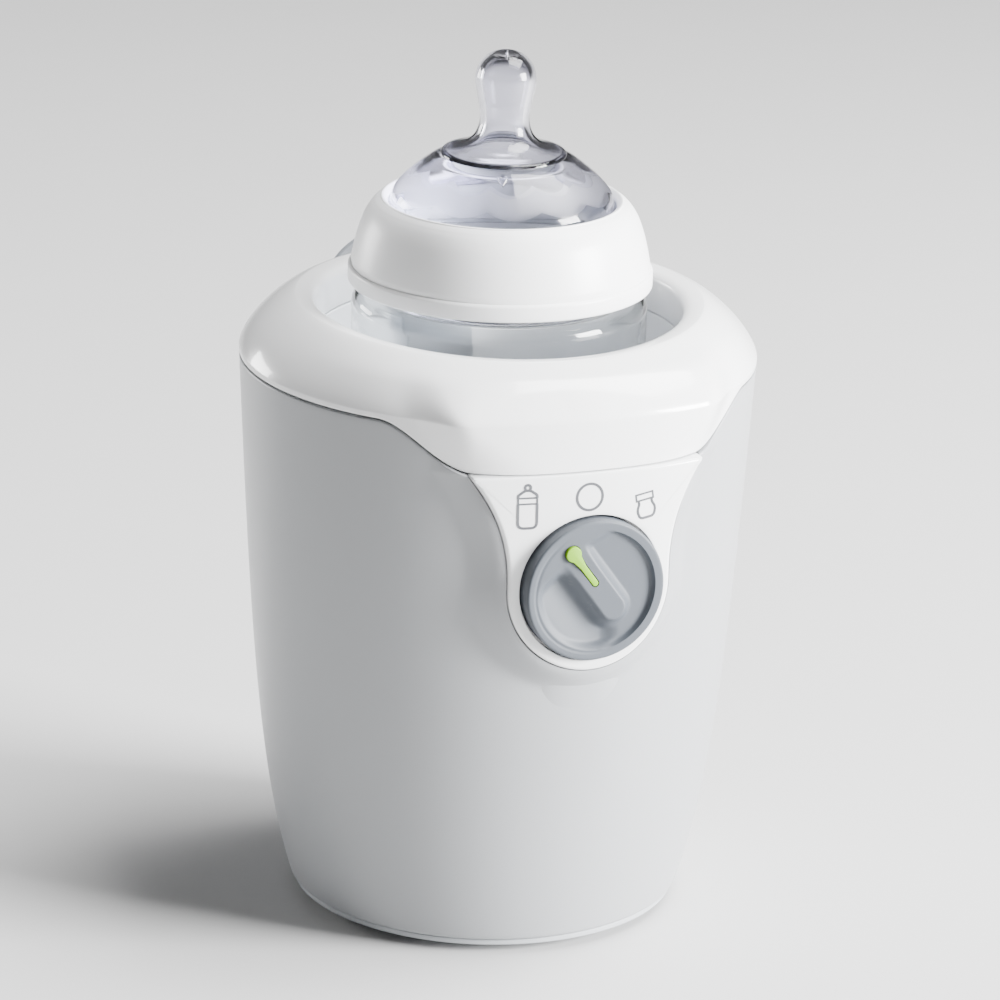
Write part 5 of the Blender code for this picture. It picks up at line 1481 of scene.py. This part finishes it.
@dataclass
class FeedingBottle:
    """The clear bottle, its collar and the silicone teat."""

    shelf: Shelf
    radius: float = 34.8
    wall: float = 1.6
    base_z: float = 26.5
    shoulder_z: float = 148.9
    neck_radius: float = 27.2
    neck_top: float = 166.2
    collar_z: float = 149.6
    collar_top: float = 169.8
    lip_radius: float = 35.8
    cavity: float = 28.6
    hole: float = 26.4
    flange: float = 28.1
    tip_z: float = 205.0
    teat_wall: float = 1.5
    vent_angle: float = -22.0
    vent_slope: float = 36.0
    vent_radius: float = 17.8
    vent_drop: float = 26.3

    def build(self) -> None:
        """Make the bottle, the teat and the collar."""
        self.bottle()
        self.marks()
        self.teat()
        self.collar()

    def bottle(self) -> None:
        """The bottle's wall, with a rolled base, a soft shoulder and the threaded neck."""
        radius, wall, base, high = self.radius, self.wall, self.base_z, self.shoulder_z
        bore = self.neck_radius - wall - 0.4
        profile = rounded([
            (0.0, base + wall + 1.0), (radius - 12.0, base + wall),
            (radius - wall - 2.6, base + wall + 0.2, 3.0),
            (radius - wall, base + 8.0, 3.0), (radius - wall, high - 4.4, 2.0),
            (radius - wall - 2.2, high - 2.4, 2.0),
            (bore + 1.0, high - 1.6, 1.2), (bore, high, 1.2), (bore, self.neck_top, 0.5),
            (self.neck_radius, self.neck_top, 0.5), (self.neck_radius, high + 0.9, 0.8),
            (self.neck_radius + 1.2, high, 0.8), (radius - 3.2, high - 0.3, 2.2), (radius, high - 3.0, 2.6),
            (radius, base + 6.0, 4.0), (radius - 2.6, base, 3.4), (radius - 8.0, base, 1.0),
            (radius - 12.0, base + 1.0, 1.0), (0.0, base + 1.4)], 7)
        self.shelf.put(Joiner.turned("bottle_wall", profile, 160), Finish.BOTTLE, "bottle", "bottle",
                       ["bottle_body"])
        tree = thread_tree()
        thread = tree.run("neck_thread", points_mesh("neck_thread", [Vector()]),
                          {"Turns": 1.7, "Thread Radius": (self.neck_radius - 0.1) * MM, "Rise": 8.5 * MM,
                           "Bottom": 153.5 * MM, "Ridge": 0.95 * MM,
                           "Material": self.shelf.paint.material(Finish.BOTTLE)})
        self.shelf.put(thread, Finish.BOTTLE, "bottle", "bottle")

    def marks(self) -> None:
        """Raised volume marks on the bottle's front, with no figures."""
        tree = tick_tree()
        for name, count, spacing, sweep in (("volume_marks_short", 16, 6.0, 0.16),
                                            ("volume_marks_long", 4, 24.0, 0.4)):
            marks = tree.run(name, points_mesh(name, [Vector()]),
                             {"Count": count, "Spacing": spacing * MM, "Bottom": 42.0 * MM,
                              "Wall Radius": self.radius * MM, "Sweep": sweep, "Ridge": 0.22 * MM,
                              "Material": self.shelf.paint.material(Finish.BOTTLE)})
            self.shelf.put(marks, Finish.BOTTLE, "bottle", "bottle")

    def teat(self) -> None:
        """The silicone teat with its stepped dome, its flange and its small flow hole."""
        top = self.tip_z
        outside = [(0.3, 0.0), (1.6, -0.15), (3.6, -0.85), (5.2, -2.1), (6.5, -4.0), (7.1, -6.4),
                   (6.9, -9.0),
                   (6.2, -12.4), (5.8, -15.4), (6.0, -17.8), (7.0, -20.2), (8.8, -21.9), (11.2, -23.0),
                   (13.4, -23.7)]
        step = [(14.3, -23.9), (14.7, -24.3), (14.7, -24.8)]
        dome = [(16.8, -25.7), (19.4, -27.6), (21.7, -29.5), (23.7, -31.4), (25.3, -33.3), (26.1, -35.2),
                (self.hole - 0.1, -36.6)]
        skin = [(p.x, top + p.y) for p in catmull(outside, 5)]
        skin += [(r, top + z) for r, z in step]
        skin += [(p.x, top + p.y) for p in catmull(dome, 5)]
        flange_top, flange_low = self.neck_top + 1.6, self.neck_top + 0.3
        inner = self.offset(skin[1:], self.teat_wall)
        inner = [(r, min(z, top - 2.0)) for r, z in inner if r > 0.35]
        profile = [*skin, *rounded([(self.hole - 0.1, flange_top, 0.3), (self.flange, flange_top, 0.4),
                                    (self.flange, flange_low, 0.4),
                                    (self.hole - self.teat_wall, flange_low, 0.3)], 3),
                   *inner[::-1], (0.35, top - 2.0)]
        self.shelf.put(Joiner.turned("silicone_teat", profile, 144, 60.0), Finish.TEAT, "teat", "silicone",
                       ["teat"])
        self.vent()

    def vent(self) -> None:
        """The drop-shaped air vent on the front of the teat's dome."""
        turn, slope = math.radians(self.vent_angle), math.radians(self.vent_slope)
        away = Vector((math.sin(turn), -math.cos(turn), 0.0))
        side, up = Vector((-away.y, away.x, 0.0)), Vector((0.0, 0.0, 1.0))
        down = away * math.cos(slope) - up * math.sin(slope)
        out = away * math.sin(slope) + up * math.cos(slope)
        middle = away * self.vent_radius + up * (self.tip_z - self.vent_drop)
        drop = rounded([(0.0, 2.1, 0.3), (-1.5, -0.6, 0.9), (0.0, -1.8, 0.9), (1.5, -0.6, 0.9)], 6)
        loops = [[middle + side * (u * scale) + down * (v * scale) + out * rise for u, v in drop]
                 for scale, rise in ((0.0, -0.5), (1.0, -0.5), (1.0, 0.1), (0.85, 0.25), (0.55, 0.25),
                                     (0.4, 0.0),
                                     (0.0, 0.0))]
        self.shelf.put(Joiner.skin("teat_vent", loops), Finish.TEAT, "teat", "silicone")

    @staticmethod
    def offset(profile: Sequence[Point], amount: float) -> list[Point]:
        """Set a profile back to its inner side by an amount."""
        moved = []
        for i, (r, z) in enumerate(profile):
            before, after = profile[max(i - 1, 0)], profile[min(i + 1, len(profile) - 1)]
            run = Vector((after[0] - before[0], after[1] - before[1]))
            run.normalize()
            moved.append((r + run.y * amount, z - run.x * amount))
        return moved

    def collar(self) -> None:
        """The screw collar: a plain crowned ring over a slightly wider lip."""
        low, top, lip = self.collar_z, self.collar_top, self.lip_radius
        cavity_top = self.neck_top + 1.9
        shoulder = [(p.x, p.y) for p in catmull([(35.1, low + 5.2), (34.5, low + 8.2), (33.7, low + 11.4),
                                                 (33.0, low + 13.6), (32.1, low + 15.8), (30.8, low + 17.9),
                                                 (29.6, low + 19.2)], 5)]
        profile = [*rounded([(self.cavity, low, 0.3), (lip, low, 0.6), (lip, low + 3.7, 0.7),
                             (35.15, low + 4.25, 0.25)], 5), *shoulder,
                   *rounded([(28.4, top, 1.2), (self.hole + 1.4, top, 0.7),
                             (self.hole + 0.4, top - 0.9, 0.5),
                             (self.hole + 0.4, cavity_top, 0.3), (self.cavity, cavity_top, 0.4)], 5)]
        self.shelf.put(Joiner.turned("screw_collar", profile, 160), Finish.COLLAR, "collar", "collar",
                       ["collar"])


# ------------------------------------------------------------------ inner parts and studio

@dataclass
class InnerParts:
    """The solids that keep their own shape and only get their finish."""

    shelf: Shelf
    finishes: dict[Finish, tuple[str, ...]] = field(default_factory=lambda: {
        Finish.SEAL: ("tank_gasket",),
        Finish.RUBBER: ("knob_seal",),
        Finish.CERAMIC: ("ptc_heater",),
        Finish.STEEL: ("heater_clamp", "thermostat_clip", "switch_nut", "thermal_fuse"),
        Finish.BLACK: ("thermostat", "rotary_switch", "cord_clamp"),
        Finish.INSERT: ("terminal_block", "fuse_sleeve", "switch_spindle"),
        Finish.BROWN_WIRE: ("switch_wire_1", "heater_wire_1"),
        Finish.BLUE_WIRE: ("switch_wire_2", "heater_wire_2", "fuse_wire"),
        Finish.GREEN_WIRE: ("earth_wire",),
    })

    def build(self, nodes: dict[str, bpy.types.Object]) -> None:
        """Put each finish on its solids."""
        for finish, names in self.finishes.items():
            for name in names:
                slots = nodes[name].material_slots
                for slot in slots:
                    slot.material = self.shelf.paint.material(finish)
                log.info("%s keeps its solid, finished as %s", name, finish.name)


@dataclass
class Studio:
    """Pale floor, soft lights and the camera."""

    paint: Paint
    distance: float = 1.228
    elevation: float = 18.51
    azimuth: float = -22.0
    roll: float = 1.72
    focal: float = 185.7
    target: tuple[float, float] = (0.00156, 0.0952)

    def build(self) -> None:
        """Set up the studio."""
        self.floor()
        self.lights()
        self.camera()

    def floor(self) -> None:
        """A wide pale floor."""
        bm = bmesh.new()
        bmesh.ops.create_grid(bm, x_segments=1, y_segments=1, size=6.0)
        bmesh.ops.translate(bm, verts=bm.verts, vec=(0.0, 0.0, -0.002))
        floor = Joiner.from_bmesh("studio_floor", bm)
        self.paint.coat(floor, Finish.FLOOR)

    def lamp(self, name: str, place: Color, aim: Color, size: float, power: float) -> None:
        """Add a square soft light.

        Args:
            name: its name.
            place: where it stands, in metres.
            aim: the point that it faces.
            size: its side.
            power: its power in watts.
        """
        data = bpy.data.lights.new(name, "AREA")
        data.size, data.energy = size, power
        lamp = bpy.data.objects.new(name, data)
        lamp.location = place
        lamp.rotation_euler = (Vector(aim) - Vector(place)).to_track_quat("-Z", "Y").to_euler()
        bpy.context.scene.collection.objects.link(lamp)

    def lights(self) -> None:
        """A key from the right and above, a top light, and a rim light from behind on the left."""
        self.lamp("key", (1.35, -1.05, 0.55), (0.0, 0.0, 0.09), 0.7, 210.0)
        self.lamp("top", (0.45, -0.1, 1.1), (0.0, 0.0, 0.1), 0.7, 40.0)
        self.lamp("rim", (-0.85, 1.3, 0.2), (0.0, 0.0, 0.1), 0.5, 20.0)
        world = bpy.data.worlds.new("studio")
        world.use_nodes = True
        sky = world.node_tree.nodes["Background"]
        sky.inputs["Color"].default_value = (1.0, 1.0, 1.0, 1.0)
        sky.inputs["Strength"].default_value = 0.08
        bpy.context.scene.world = world

    def camera(self) -> None:
        """The camera, with a long lens and a slight roll."""
        turn, rise, roll = (math.radians(v) for v in (self.azimuth, self.elevation, self.roll))
        back = Vector((math.sin(turn) * math.cos(rise), -math.cos(turn) * math.cos(rise), math.sin(rise)))
        level = Vector((math.cos(turn), math.sin(turn), 0.0))
        upright = back.cross(level)
        right = level * math.cos(roll) + upright * math.sin(roll)
        up = upright * math.cos(roll) - level * math.sin(roll)
        place = level * self.target[0] + Vector((0.0, 0.0, self.target[1])) + back * self.distance
        data = bpy.data.cameras.new("camera")
        data.lens, data.sensor_width = self.focal, 36.0
        data.clip_start, data.clip_end = 0.05, 40.0
        camera = bpy.data.objects.new("camera", data)
        camera.matrix_world = Matrix((right, up, back)).transposed().to_4x4()
        camera.location = place
        bpy.context.scene.collection.objects.link(camera)
        bpy.context.scene.camera = camera


def main() -> None:
    """Build the studio and every sub-assembly."""
    logging.basicConfig(level=logging.INFO, format="%(name)s: %(message)s")
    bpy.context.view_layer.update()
    paint = Paint()
    shelf = Shelf(paint)
    Studio(paint).build()
    casings = Casings(shelf)
    casings.build()
    PanelMarks(shelf, casings).build()
    Knob(shelf).build()
    WaterWell(shelf).build()
    LiftBasket(shelf, casings.form).build()
    Base(shelf, casings.form).build()
    FeedingBottle(shelf).build()
    InnerParts(shelf).build(frame["nodes"])


if __name__ == "__main__":
    main()
